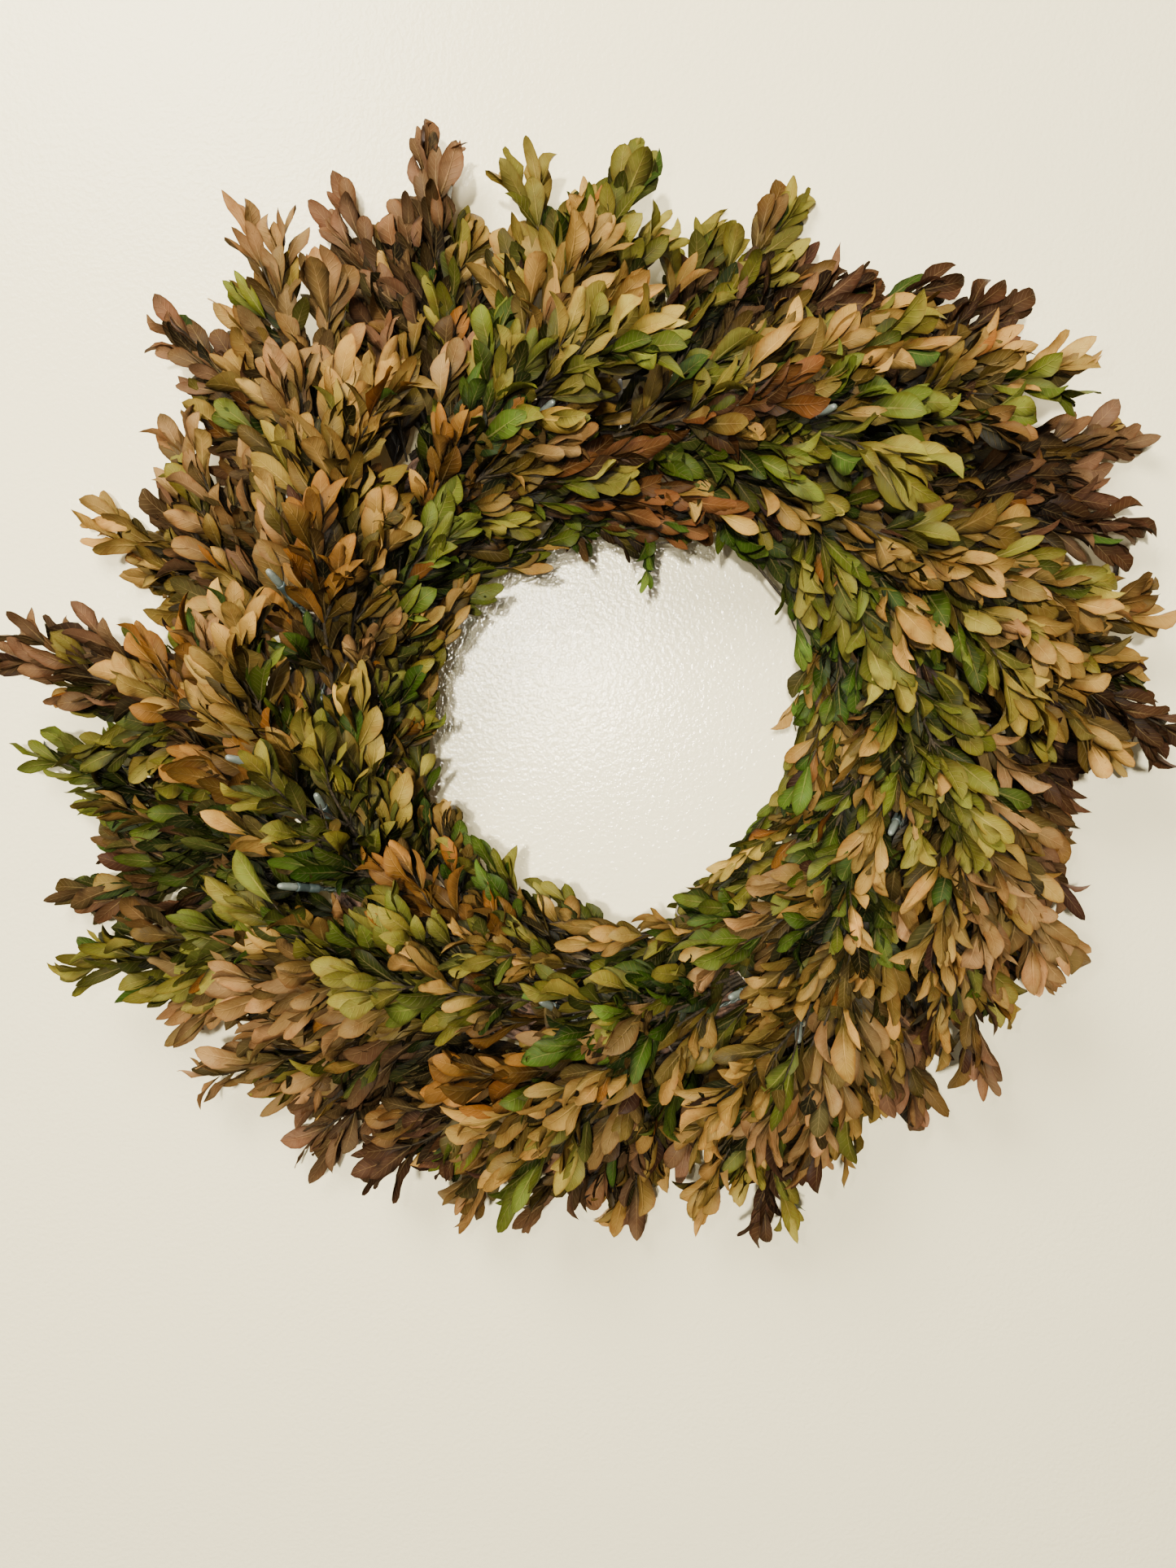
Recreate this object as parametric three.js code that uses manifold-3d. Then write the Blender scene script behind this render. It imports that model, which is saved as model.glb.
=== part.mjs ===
// A wall wreath of preserved box sprigs in autumn colours, hung by a wire eye.
//
// A ring of bundled twigs carries bunches of leafy sprigs that all sweep clockwise, in five rows round
// the tube of the ring. One wire winds round the ring and holds the stem ends of the bunches, and a
// string of small unlit lamps runs along the front of the ring, between two rows.
//
// Millimetres. +X is right, +Z is up and -Y faces the viewer. The origin is the top of the eye's
// opening, where a nail carries the wreath.

import * as THREE from 'three';
import { mergeVertices } from 'three/addons/utils/BufferGeometryUtils.js';
import Module from 'manifold-3d';

const wasm = await Module();
wasm.setup();

// Ring of bundled twigs
const RING_RADIUS = 150; // centre of the ring to the centre of its tube
const TUBE_WIDTH = 46; // across the tube in the plane of the ring
const TUBE_DEPTH = 40; // front to back
const BACK_FACE = -2; // the twigs are pressed flat behind
const RING_SEGMENTS = 32;
const TWIG_BUNDLES = 8; // ridges round the tube
const BUNDLE_STEP = 360 / TWIG_BUNDLES; // degrees round the tube
const FIRST_RIDGE = 22.5; // degrees round the tube
const GROOVE_DEPTH = 2.6; // between two bundles

// Hanger
const HANGER_AT = 90; // degrees
const HANGER_WIRE = 1.1; // radius
const HANGER_PLAY = 2; // twigs to the middle of the hanger's wire
const HANGER_GAP = 20; // degrees between the two ends of the loop
const TWIST_PLACE = -45; // degrees round the tube, where the two ends are twisted together
const EYE_OPENING = 6; // radius
const EYE_FOOT = -2 * EYE_OPENING - HANGER_WIRE; // height of the wire at the foot of the eye
const TWIST_DROP = 2; // foot of the eye to the top of the ring
const HANG_DROP = -EYE_FOOT + TWIST_DROP + TUBE_WIDTH / 2 + RING_RADIUS; // eye to the middle of the ring

// Binding wire. Even turns catch the back, front and inner rows, odd turns the other two.
const TURNS = 18;
const TURN_STEP = 360 / TURNS; // degrees
const FIRST_TURN = 84; // degrees, which leaves the place of the hanger free
const BINDING_WIRE = 0.6; // radius
const CLEARANCE = 0.3; // between pieces that touch
const TAIL_TURN = 7; // the wire's loose end leaves this turn for the hole
const TAIL = [
  [37, 97],
  [29, 96],
  [31, 89],
  [34, 87],
]; // right of the middle of the ring, and below it

// Bunches
const KNOT_RADIUS = 3.2; // gathered stem ends
const KNOT_START_RADIUS = 2.7;
const KNOT_LENGTH = 16;
const KNOT_HEIGHT = KNOT_RADIUS + 2 * CLEARANCE; // twigs to the middle of a knot
const STEM_SPREAD = 1.8; // middle of a knot to the stems of its sprigs

// Sprigs: leaves in pairs along a stem, cut to the rib in one thin arched blade
const BLADE = 0.8; // thickness
const RIB = 1.3; // half width of the stem
const LEAF_WIDTH = 0.6; // share of a leaf's length, where its neighbours leave room
const LEAF_ANGLE = 42; // degrees between a leaf and its stem
const FIRST_PAIR = 15; // root of the sprig to its first leaves
const PAIR_SPACING = 31;
const MOST_PAIRS = 3;
const FOLLOW = 0.0016; // per mm, how a stem bends after the ring
const DROOP = 0.0011; // per mm, how a stem bends back to the wall
const LEAF_WAVE = 0.16; // rise of a leaf over its length
const HOLE_KEPT_FREE = 58; // half width of the square that no leaf enters
const NEAREST_WALL = 1; // leaves stay in front of this plane
const SEED = 44; // with it, every sprig finds a clear place

// Rows round the tube. theta is the place on the tube, from straight outwards to the front. lean is the
// direction of a sprig out from clockwise, and lift its rise towards the viewer.
const ROWS = [
  { name: 'back', theta: -22.5, turn: 0, leaf: 41, tipDepth: -6, colour: 0x5a3a2c },
  { name: 'outer', theta: 22.5, turn: 1, leaf: 41, tipDepth: -30, colour: 0x9a7a42 },
  { name: 'front', theta: 67.5, turn: 0, leaf: 40, lean: 16, lift: 21, length: 134, colour: 0xb08a55 },
  { name: 'crown', theta: 112.5, turn: 1, leaf: 38, lean: -6, lift: 22, length: 124, colour: 0x8a8338 },
  { name: 'inner', theta: 157.5, turn: 0, leaf: 30, lean: -20, lift: 13, length: 112, colour: 0x5d7530 },
];
const FAN = 13; // degrees of lean between the middle of a bunch and a side sprig
const FAN_LIFT = 5;
const TIP_STEP = 14; // second tip of a bunch in front of the first, in the two outer rows

// Degrees and reach from the middle of the ring of the tips in the outline, for each bunch of a row
const TIPS = {
  back: [
    [70, 295, 54, 290],
    [30, 305, 17, 288],
    [357, 270, 338, 258],
    [307, 258, 296, 264],
    [268, 280, 257, 268],
    [232, 296, 219, 300],
    [196, 318, 184, 322],
    [158, 305, 146, 284],
    [115, 304, 104, 318],
  ],
  outer: [
    [46, 297, 38, 310],
    [11, 284, 2, 290],
    [328, 262, 320, 284],
    [287, 292, 279, 262],
    [251, 273, 240, 276],
    [211, 282, 203, 316],
    [178, 280, 169, 324],
    [137, 312, 126, 315],
    [98, 290, 86, 300],
  ],
};

// Light string
const CORD_RADIUS = 1.2;
const CORD_PLACE = 90; // degrees round the tube, in the groove between two rows
const CORD_START = 238; // degrees
const CORD_SWEEP = 344;
const CORD_STEPS = 44;
const SOCKET_LENGTH = 15;
const SOCKET_RADIUS = 2.1;
const BULB_LENGTH = 10;
const BULB_RADIUS = 1.9;
const BULBS = [
  { at: 163, lean: 50, lift: 45, stalk: 44 },
  { at: 203, lean: -10, lift: 48, stalk: 36 },
  { at: 213, lean: 42, lift: 45, stalk: 44 },
  { at: 190, lean: 58, lift: 43, stalk: 46 },
  { at: 264, lean: -34, lift: 46, stalk: 34 },
  { at: 303, lean: -30, lift: 48, stalk: 34 },
  { at: 308, lean: 40, lift: 46, stalk: 36 },
  { at: 112, lean: 8, lift: 50, stalk: 34 },
  { at: 350, lean: -32, lift: 48, stalk: 34 },
  { at: 66, lean: 44, lift: 44, stalk: 44 },
];

const COLOURS = {
  twigs: 0x7c5546,
  hanger: 0x6f6f6c,
  wire: 0x5b5a4c,
  cord: 0x24352c,
  bulb: 0x9aa59a,
};

const DEG = Math.PI / 180;
const FRONT = new THREE.Vector3(0, -1, 0);
const RING_CENTRE = new THREE.Vector3(0, -TUBE_DEPTH / 2, -HANG_DROP);

function seededRandom(seed) {
  let state = seed;
  return () => {
    state = (state * 48271) % 2147483647;
    return state / 2147483647;
  };
}

// Places. phi goes round the ring from +X towards +Z, theta round the tube from outwards to the front.

function outwards(phi) {
  return new THREE.Vector3(Math.cos(phi * DEG), 0, Math.sin(phi * DEG));
}

function clockwise(phi) {
  return new THREE.Vector3(Math.sin(phi * DEG), 0, -Math.cos(phi * DEG));
}

function heading(phi, lean, lift) {
  return clockwise(phi)
    .multiplyScalar(Math.cos(lift * DEG) * Math.cos(lean * DEG))
    .addScaledVector(outwards(phi), Math.cos(lift * DEG) * Math.sin(lean * DEG))
    .addScaledVector(FRONT, Math.sin(lift * DEG));
}

function tubeNormal(phi, theta) {
  return outwards(phi)
    .multiplyScalar(Math.cos(theta * DEG))
    .addScaledVector(FRONT, Math.sin(theta * DEG));
}

function tubePoint(phi, theta, height) {
  const point = RING_CENTRE.clone()
    .addScaledVector(outwards(phi), RING_RADIUS + (TUBE_WIDTH / 2 + height) * Math.cos(theta * DEG))
    .addScaledVector(FRONT, (TUBE_DEPTH / 2 + height) * Math.sin(theta * DEG));
  point.y = Math.min(point.y, BACK_FACE + height);
  return point;
}

function turnAngle(turn, theta) {
  return FIRST_TURN - TURN_STEP * (turn + (theta - ROWS[0].theta) / 360);
}

// Solids

function solid(geometry) {
  const bare = geometry.clone();
  bare.deleteAttribute('normal');
  bare.deleteAttribute('uv');
  const merged = mergeVertices(bare, 1e-3);
  return new wasm.Manifold(
    new wasm.Mesh({
      numProp: 3,
      vertProperties: merged.attributes.position.array,
      triVerts: new Uint32Array(merged.index.array),
    }),
  );
}

function geometryOf(manifold) {
  const mesh = manifold.getMesh();
  return new THREE.BufferGeometry()
    .setAttribute('position', new THREE.BufferAttribute(new Float32Array(mesh.vertProperties), 3))
    .setIndex(new THREE.BufferAttribute(new Uint32Array(mesh.triVerts), 1));
}

function eachVertex(geometry, move) {
  const place = geometry.getAttribute('position');
  for (let i = 0; i < place.count; i += 1) {
    const moved = move(new THREE.Vector3().fromBufferAttribute(place, i), i);
    place.setXYZ(i, moved.x, moved.y, moved.z);
  }
  return geometry;
}

function evenPolygon(radius, sides) {
  return new THREE.Shape(
    Array.from({ length: sides }, (_, i) => {
      const turn = (i / sides) * 2 * Math.PI;
      return new THREE.Vector2(radius * Math.cos(turn), radius * Math.sin(turn));
    }),
  );
}

// A straight extrusion with a step for each stretch of the route, laid onto the route's points
function wireAlong(route, radius, sides, upwards) {
  const steps = route.length - 1;
  const straight = new THREE.ExtrudeGeometry(evenPolygon(radius, sides), {
    depth: steps,
    steps,
    bevelEnabled: false,
  });
  const laid = eachVertex(straight, (vertex) => {
    const i = Math.round(vertex.z);
    const along = route[Math.min(i + 1, steps)].clone().sub(route[Math.max(i - 1, 0)]).normalize();
    const up = upwards(i);
    up.addScaledVector(along, -up.dot(along)).normalize();
    const across = up.clone().cross(along);
    return route[i].clone().addScaledVector(across, vertex.x).addScaledVector(up, vertex.y);
  });
  return solid(laid);
}

// Turns a lathed or cylindrical geometry, which stands on +Y, to start at a point and run along a direction
function standing(geometry, start, direction) {
  const turn = new THREE.Quaternion().setFromUnitVectors(new THREE.Vector3(0, 1, 0), direction);
  return solid(geometry.applyQuaternion(turn).translate(start.x, start.y, start.z));
}

function taperedRod(start, direction, length, startRadius, endRadius, sides) {
  const rod = new THREE.CylinderGeometry(endRadius, startRadius, length, sides);
  return standing(rod.translate(0, length / 2, 0), start, direction);
}

function twigRing() {
  const around = 2 * TWIG_BUNDLES;
  const ring = new THREE.TorusGeometry(RING_RADIUS, TUBE_WIDTH / 2, around, RING_SEGMENTS);
  return solid(
    eachVertex(ring, (_, i) => {
      const step = Math.floor(i / (RING_SEGMENTS + 1)) % around;
      const phi = ((i % (RING_SEGMENTS + 1)) % RING_SEGMENTS) * (360 / RING_SEGMENTS);
      const theta = FIRST_RIDGE + (step * BUNDLE_STEP) / 2;
      const isPressedFlat = Math.sin(theta * DEG) < -0.9;
      const groove = step % 2 === 1 && !isPressedFlat ? GROOVE_DEPTH : 0;
      return tubePoint(phi, theta, -groove);
    }),
  );
}

// A loop round the top of the ring, with its two ends twisted into an eye
function hangerWire() {
  const corners = 16;
  const loop = Array.from({ length: corners + 1 }, (_, i) => {
    const turn = HANGER_GAP / 2 + (i / corners) * (360 - HANGER_GAP);
    return tubePoint(HANGER_AT, TWIST_PLACE + turn, HANGER_PLAY);
  });
  const foot = new THREE.Vector3(0, 0, EYE_FOOT);
  const ends = [loop[0], loop[corners]].map((end) => {
    const way = end.clone().sub(foot);
    return taperedRod(foot, way.clone().normalize(), way.length(), HANGER_WIRE, HANGER_WIRE, 4);
  });
  const eye = new THREE.TorusGeometry(EYE_OPENING + HANGER_WIRE, HANGER_WIRE, 4, 12)
    .rotateX(Math.PI / 2)
    .translate(0, 0, -EYE_OPENING);
  const round = wireAlong(loop, HANGER_WIRE, 4, () => outwards(0));
  return round.add(ends[0]).add(ends[1]).add(solid(eye));
}

// The wire passes over the stem ends and lies on the twigs elsewhere
function bindingWire() {
  const overKnot = KNOT_HEIGHT + KNOT_RADIUS + 3 * CLEARANCE + BINDING_WIRE;
  const onTwigs = CLEARANCE + 2 * BINDING_WIRE;
  const corners = [];
  for (let turn = 0; turn < TURNS; turn += 1) {
    for (let ridge = 0; ridge < TWIG_BUNDLES; ridge += 1) {
      const theta = ROWS[0].theta + ridge * BUNDLE_STEP;
      const isCaught = ridge < ROWS.length && ROWS[ridge].turn === turn % 2;
      corners.push({ phi: turnAngle(turn, theta), theta, height: isCaught ? overKnot : onTwigs });
    }
  }
  const held = corners.slice(0, ROWS.length - TWIG_BUNDLES);
  const route = held.map((c) => tubePoint(c.phi, c.theta, c.height));
  const wound = wireAlong(route, BINDING_WIRE, 3, (i) => tubeNormal(held[i].phi, held[i].theta));
  const leaves = route[TAIL_TURN * TWIG_BUNDLES + ROWS.length - 1];
  const tail = TAIL.map(([right, below]) => new THREE.Vector3(right, leaves.y, -HANG_DROP - below));
  return wound.add(wireAlong([leaves, ...tail], BINDING_WIRE, 4, () => FRONT.clone()));
}

function cordPoint(phi) {
  return tubePoint(phi, CORD_PLACE, CORD_RADIUS + CLEARANCE - GROOVE_DEPTH);
}

function lightString() {
  const route = Array.from({ length: CORD_STEPS + 1 }, (_, i) => {
    return cordPoint(CORD_START - (i / CORD_STEPS) * CORD_SWEEP);
  });
  const cord = wireAlong(route, CORD_RADIUS, 5, () => FRONT.clone());
  return BULBS.reduce((whole, bulb) => whole.add(socketOnLead(bulb)), cord);
}

function socketOnLead(bulb) {
  const socketStart = bulb.stalk - SOCKET_LENGTH;
  const profile = [
    [0, 0],
    [CORD_RADIUS, 0],
    [CORD_RADIUS, socketStart],
    [SOCKET_RADIUS, socketStart + 2],
    [SOCKET_RADIUS, bulb.stalk],
    [0, bulb.stalk],
  ].map(([radius, along]) => new THREE.Vector2(radius, along));
  const direction = heading(bulb.at, bulb.lean, bulb.lift);
  return standing(new THREE.LatheGeometry(profile, 6), cordPoint(bulb.at), direction);
}

function lampBulb(bulb) {
  const profile = [
    [0, 0],
    [1, 0],
    [0.85, 0.5],
    [0.45, 1],
    [0, 1],
  ].map(([radius, along]) => new THREE.Vector2(radius * BULB_RADIUS, along * BULB_LENGTH));
  const direction = heading(bulb.at, bulb.lean, bulb.lift);
  const start = cordPoint(bulb.at).addScaledVector(direction, bulb.stalk + CLEARANCE);
  return standing(new THREE.LatheGeometry(profile, 6), start, direction);
}

// Sprigs. A sprig is drawn flat, with u along the stem and v across it, and then laid along its stem.

function sideLeaf(u, side, angle, length, width) {
  const along = new THREE.Vector2(Math.cos(angle * DEG), side * Math.sin(angle * DEG));
  const inner = new THREE.Vector2(Math.sin(angle * DEG), -side * Math.cos(angle * DEG));
  const at = (share, half) =>
    new THREE.Vector2(u, side * RIB)
      .addScaledVector(along, share * length)
      .addScaledVector(inner, (half * width) / 2);
  const blade = [at(0.52, -0.95), at(0.94, -0.5), at(0.94, 0.45), at(0.52, 0.95)];
  return [new THREE.Vector2(u - 2, side * RIB), ...blade, new THREE.Vector2(u + 2, side * RIB)];
}

function endLeaf(length, leaf) {
  const half = [
    [0.06, 0.16],
    [0.55, 1],
    [0.9, 0.6],
  ];
  const start = length - leaf;
  const side = (sign) => {
    return half.map(([along, across]) => {
      return new THREE.Vector2(start + along * leaf, (sign * across * LEAF_WIDTH * leaf) / 2);
    });
  };
  return [...side(-1), new THREE.Vector2(length, 0), ...side(1).reverse()];
}

function sprigOutline(sprig) {
  const { length, leaf } = sprig;
  const room = (length - leaf - FIRST_PAIR) / PAIR_SPACING;
  const pairs = Math.min(Math.max(Math.round(room), 1), MOST_PAIRS);
  const spacing = (length - leaf - FIRST_PAIR) / pairs;
  const width = Math.min(LEAF_WIDTH * leaf, 0.98 * spacing * Math.sin(LEAF_ANGLE * DEG));
  const side = (sign) => {
    const facesSister = sign !== sprig.side;
    return Array.from({ length: pairs }, (_, i) => {
      if (facesSister && i === 0) return [];
      const angle = LEAF_ANGLE + sign * (i % 2 ? sprig.spread : -sprig.spread);
      return sideLeaf(FIRST_PAIR + i * spacing, sign, angle, leaf, width);
    }).flat();
  };
  return [
    new THREE.Vector2(0, -RIB),
    ...side(-1),
    ...endLeaf(length, leaf),
    ...side(1).reverse(),
    new THREE.Vector2(0, RIB),
  ];
}

function sprigSolid(sprig, thickness) {
  const blade = new THREE.ExtrudeGeometry(new THREE.Shape(sprigOutline(sprig)), {
    depth: thickness,
    steps: 1,
    bevelEnabled: false,
  });
  const laid = eachVertex(blade, (vertex) => {
    const share = vertex.x / sprig.length;
    const along = sprig.stem.getTangent(share);
    const up = sprig.facing.clone().addScaledVector(along, -sprig.facing.dot(along)).normalize();
    up.applyAxisAngle(along, sprig.roll * DEG);
    const across = up.clone().cross(along);
    const cup = Math.abs(vertex.y) * Math.sin(vertex.x / 11 + sprig.wave);
    const twist = vertex.y * Math.sin(vertex.x / 17 + 2 * sprig.wave);
    const rise = LEAF_WAVE * (cup + 0.7 * twist);
    return sprig.stem
      .getPoint(share)
      .addScaledVector(across, vertex.y)
      .addScaledVector(up, rise + vertex.z - thickness / 2);
  });
  return solid(laid);
}

function archedStem(root, direction, length, sag) {
  const bend = root.clone().addScaledVector(direction, length / 2);
  const tip = root.clone().addScaledVector(direction, length).add(sag);
  return new THREE.QuadraticBezierCurve3(root, bend, tip);
}

// The two outermost rows aim at the tips of the outline
function aimAtOutline(row, bunch, side, root) {
  const [angle, reach] = TIPS[row.name][bunch].slice(side < 0 ? 2 : 0);
  const tip = RING_CENTRE.clone().addScaledVector(outwards(angle), reach);
  tip.y = row.tipDepth - (side < 0 ? TIP_STEP : 0);
  const way = tip.sub(root);
  return { direction: way.clone().normalize(), length: way.length(), sag: new THREE.Vector3() };
}

// The other rows follow the ring and droop back over it
function aimAlongRing(row, phi, side, random) {
  const lean = row.lean + side * FAN + 8 * (random() - 0.5);
  const lift = row.lift - side * FAN_LIFT * Math.sign(row.lean) + 4 * (random() - 0.5);
  const length = row.length * (0.94 + 0.14 * random());
  const sag = outwards(phi)
    .multiplyScalar((-FOLLOW * length * length) / 2)
    .addScaledVector(FRONT, (-DROOP * length * length) / 2);
  return { direction: heading(phi, lean, lift), length, sag };
}

function plannedSprig(row, bunch, side, random) {
  const phi = turnAngle(2 * bunch + row.turn, row.theta);
  const root = tubePoint(phi, row.theta, KNOT_HEIGHT).addScaledVector(clockwise(phi), KNOT_LENGTH / 4);
  const aim = row.lean === undefined
    ? aimAtOutline(row, bunch, side, root)
    : aimAlongRing(row, phi, side, random);
  const sideways = FRONT.clone().cross(aim.direction).normalize();
  return {
    ...aim,
    side,
    root: root.addScaledVector(sideways, side * STEM_SPREAD),
    leaf: row.leaf,
    facing: FRONT.clone().multiplyScalar(0.9).addScaledVector(tubeNormal(phi, row.theta), 0.35),
    roll: 6 * side + 8 * (random() - 0.5),
    spread: 5 * (random() - 0.5),
    wave: 6 * random(),
  };
}

function obstacle(made) {
  return { solid: made, box: made.boundingBox() };
}

function boxesMeet(a, b) {
  return [0, 1, 2].every((i) => a.min[i] <= b.max[i] && b.min[i] <= a.max[i]);
}

function isClear(candidate, others) {
  const box = candidate.boundingBox();
  if (box.max[1] > NEAREST_WALL) return false;
  return !others.some((other) => {
    return boxesMeet(box, other.box) && candidate.intersect(other.solid).volume() > 0;
  });
}

// Changes of lift, lean, roll and length that bend a sprig clear of its neighbours, smallest first
const BENDS = [1, 0.88, 0.76, 0.64].flatMap((length) => {
  return [0, 3, -3, 6, -6, 9, -9, 12, -12].flatMap((lift) => {
    return [0, 4, -4, 8, -8, 12, -12].flatMap((lean) => {
      return [0, 10, -10].map((roll) => ({ lift, lean, roll, length }));
    });
  });
});
const bendSize = (bend) => Math.abs(bend.lift) + Math.abs(bend.lean) + 60 * (1 - bend.length);
BENDS.sort((a, b) => bendSize(a) - bendSize(b));

function bentClear(sprig, others) {
  for (const bend of BENDS) {
    const sideways = sprig.direction.clone().cross(FRONT).normalize();
    const direction = sprig.direction
      .clone()
      .applyAxisAngle(sideways, bend.lift * DEG)
      .applyAxisAngle(FRONT, bend.lean * DEG);
    const length = bend.length * sprig.length;
    const stem = archedStem(sprig.root, direction, length, sprig.sag);
    const bent = { ...sprig, stem, length, roll: sprig.roll + bend.roll };
    if (isClear(sprigSolid(bent, BLADE + 2 * CLEARANCE), others)) return bent;
  }
  throw new Error('a sprig has no clear place: another seed is needed');
}

function bunchSolid(row, bunch, others, random) {
  const phi = turnAngle(2 * bunch + row.turn, row.theta);
  const start = tubePoint(phi, row.theta, KNOT_HEIGHT).addScaledVector(clockwise(phi), -KNOT_LENGTH / 2);
  const knot = taperedRod(start, clockwise(phi), KNOT_LENGTH, KNOT_START_RADIUS, KNOT_RADIUS, 5);
  const sprigs = [];
  for (const side of [1, -1]) {
    const sprig = bentClear(plannedSprig(row, bunch, side, random), [...others, ...sprigs]);
    sprigs.push(obstacle(sprigSolid(sprig, BLADE)));
  }
  return sprigs.reduce((whole, sprig) => whole.add(sprig.solid), knot);
}

// The whole wreath

function material(colour, roughness, metalness) {
  return new THREE.MeshStandardMaterial({ color: colour, roughness, metalness });
}

const wreath = new THREE.Group();
const placed = [];

function place(name, made, look) {
  const mesh = new THREE.Mesh(geometryOf(made), look);
  mesh.name = name;
  wreath.add(mesh);
  placed.push(obstacle(made));
}

place('twig_ring', twigRing(), material(COLOURS.twigs, 0.85, 0));
place('hanger_wire', hangerWire(), material(COLOURS.hanger, 0.4, 0.8));
place('binding_wire', bindingWire(), material(COLOURS.wire, 0.5, 0.6));
place('light_string', lightString(), material(COLOURS.cord, 0.6, 0));
BULBS.forEach((bulb, i) => {
  place(`lamp_bulb_${String(i + 1).padStart(2, '0')}`, lampBulb(bulb), material(COLOURS.bulb, 0.3, 0));
});

const hole = solid(
  new THREE.BoxGeometry(2 * HOLE_KEPT_FREE, 400, 2 * HOLE_KEPT_FREE).translate(0, 0, -HANG_DROP),
);
const random = seededRandom(SEED);
for (const row of ROWS) {
  for (let bunch = 0; bunch < TURNS / 2; bunch += 1) {
    const made = bunchSolid(row, bunch, [...placed, obstacle(hole)], random);
    place(`${row.name}_bunch_${bunch + 1}`, made, material(row.colour, 0.6, 0));
  }
}

export default wreath;
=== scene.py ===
# Autumn leaf wreath: leafy box sprigs wired to a ring of twigs, with a string of small unlit lamps.
# Metres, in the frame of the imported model: +X right, +Z up, the viewer at -Y.

import math
import random

import bmesh
import bpy
from mathutils import Matrix, Vector
from mathutils.kdtree import KDTree


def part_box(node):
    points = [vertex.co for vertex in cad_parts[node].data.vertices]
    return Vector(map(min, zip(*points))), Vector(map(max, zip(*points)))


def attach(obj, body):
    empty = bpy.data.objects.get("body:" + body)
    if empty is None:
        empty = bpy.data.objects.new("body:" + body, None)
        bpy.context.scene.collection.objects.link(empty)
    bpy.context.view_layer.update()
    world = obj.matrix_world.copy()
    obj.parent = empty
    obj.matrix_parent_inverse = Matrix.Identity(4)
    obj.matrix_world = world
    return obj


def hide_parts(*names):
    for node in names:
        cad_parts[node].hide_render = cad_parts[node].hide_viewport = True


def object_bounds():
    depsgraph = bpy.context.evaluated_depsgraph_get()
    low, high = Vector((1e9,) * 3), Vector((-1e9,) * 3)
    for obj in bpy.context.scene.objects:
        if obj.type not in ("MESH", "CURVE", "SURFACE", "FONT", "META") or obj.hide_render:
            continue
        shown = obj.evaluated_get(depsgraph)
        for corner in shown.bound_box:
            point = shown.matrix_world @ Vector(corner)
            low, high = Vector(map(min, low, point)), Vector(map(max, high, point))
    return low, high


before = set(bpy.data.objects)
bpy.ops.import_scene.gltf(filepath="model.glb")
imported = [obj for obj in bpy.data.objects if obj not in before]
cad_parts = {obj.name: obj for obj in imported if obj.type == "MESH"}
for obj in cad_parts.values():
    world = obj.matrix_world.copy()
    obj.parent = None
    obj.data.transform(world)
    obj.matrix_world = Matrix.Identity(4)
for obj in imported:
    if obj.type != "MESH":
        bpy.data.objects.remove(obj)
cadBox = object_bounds()
towardsViewer = Vector((0, -1, 0))


# Small helpers for objects and meshes

def addObject(name, data):
    item = bpy.data.objects.new(name, data)
    bpy.context.scene.collection.objects.link(item)
    return item


def meshOf(bm, name, materials=()):
    mesh = bpy.data.meshes.new(name)
    bm.to_mesh(mesh)
    bm.free()
    for material in materials:
        mesh.materials.append(material)
    return mesh


def addPiece(bm, name, materials, replaced):
    piece = addObject(name, meshOf(bm, name, materials))
    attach(piece, "root")
    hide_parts(replaced)


def addRods(bm, rods, sides=6, materialIndex=0, cyclic=False):
    # each rod is a list of (point, radius); a bevelled curve turns them into round rods with closed ends
    curve = bpy.data.curves.new("rods", "CURVE")
    curve.dimensions = "3D"
    curve.bevel_depth = 1
    curve.bevel_resolution = (sides - 4) // 2
    curve.use_fill_caps = not cyclic
    for rod in rods:
        spline = curve.splines.new("POLY")
        spline.points.add(len(rod) - 1)
        spline.use_cyclic_u = cyclic
        for point, (place, radius) in zip(spline.points, rod):
            point.co = (*place, 1)
            point.radius = radius
    carrier = bpy.data.objects.new("rods", curve)
    mesh = bpy.data.meshes.new_from_object(carrier)
    mesh.polygons.foreach_set("material_index", [materialIndex] * len(mesh.polygons))
    mesh.polygons.foreach_set("use_smooth", [True] * len(mesh.polygons))
    bm.from_mesh(mesh)
    bpy.data.meshes.remove(mesh)
    bpy.data.objects.remove(carrier)
    bpy.data.curves.remove(curve)


# Camera, as in the photograph

cameraSettings = {
    "place": (-0.016, -0.620, -0.164),
    "pitch": -5,  # degrees
    "lens": 26.62,
    "clip": 0.01,
}


def makeCamera():
    data = bpy.data.cameras.new("camera")
    data.lens = cameraSettings["lens"]
    data.clip_start = cameraSettings["clip"]
    camera = addObject("camera", data)
    camera.location = cameraSettings["place"]
    camera.rotation_euler = (math.radians(90 + cameraSettings["pitch"]), 0, 0)
    bpy.context.scene.camera = camera


makeCamera()
print("camera placed")


# Small helpers for materials

def feed(tree, socket, value):
    # a value is a number, a colour or what another node gives
    if isinstance(value, bpy.types.NodeSocket):
        tree.links.new(value, socket)
    else:
        socket.default_value = value


def addNode(tree, kind, **values):
    node = tree.nodes.new(kind)
    for key, value in values.items():
        if hasattr(node, key):
            setattr(node, key, value)
        else:
            feed(tree, node.inputs[key.replace("_", " ")], value)
    return node


def mathNode(tree, operation, *values):
    node = addNode(tree, "ShaderNodeMath", operation=operation)
    for socket, value in zip(node.inputs, values):
        feed(tree, socket, value)
    return node.outputs[0]


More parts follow.
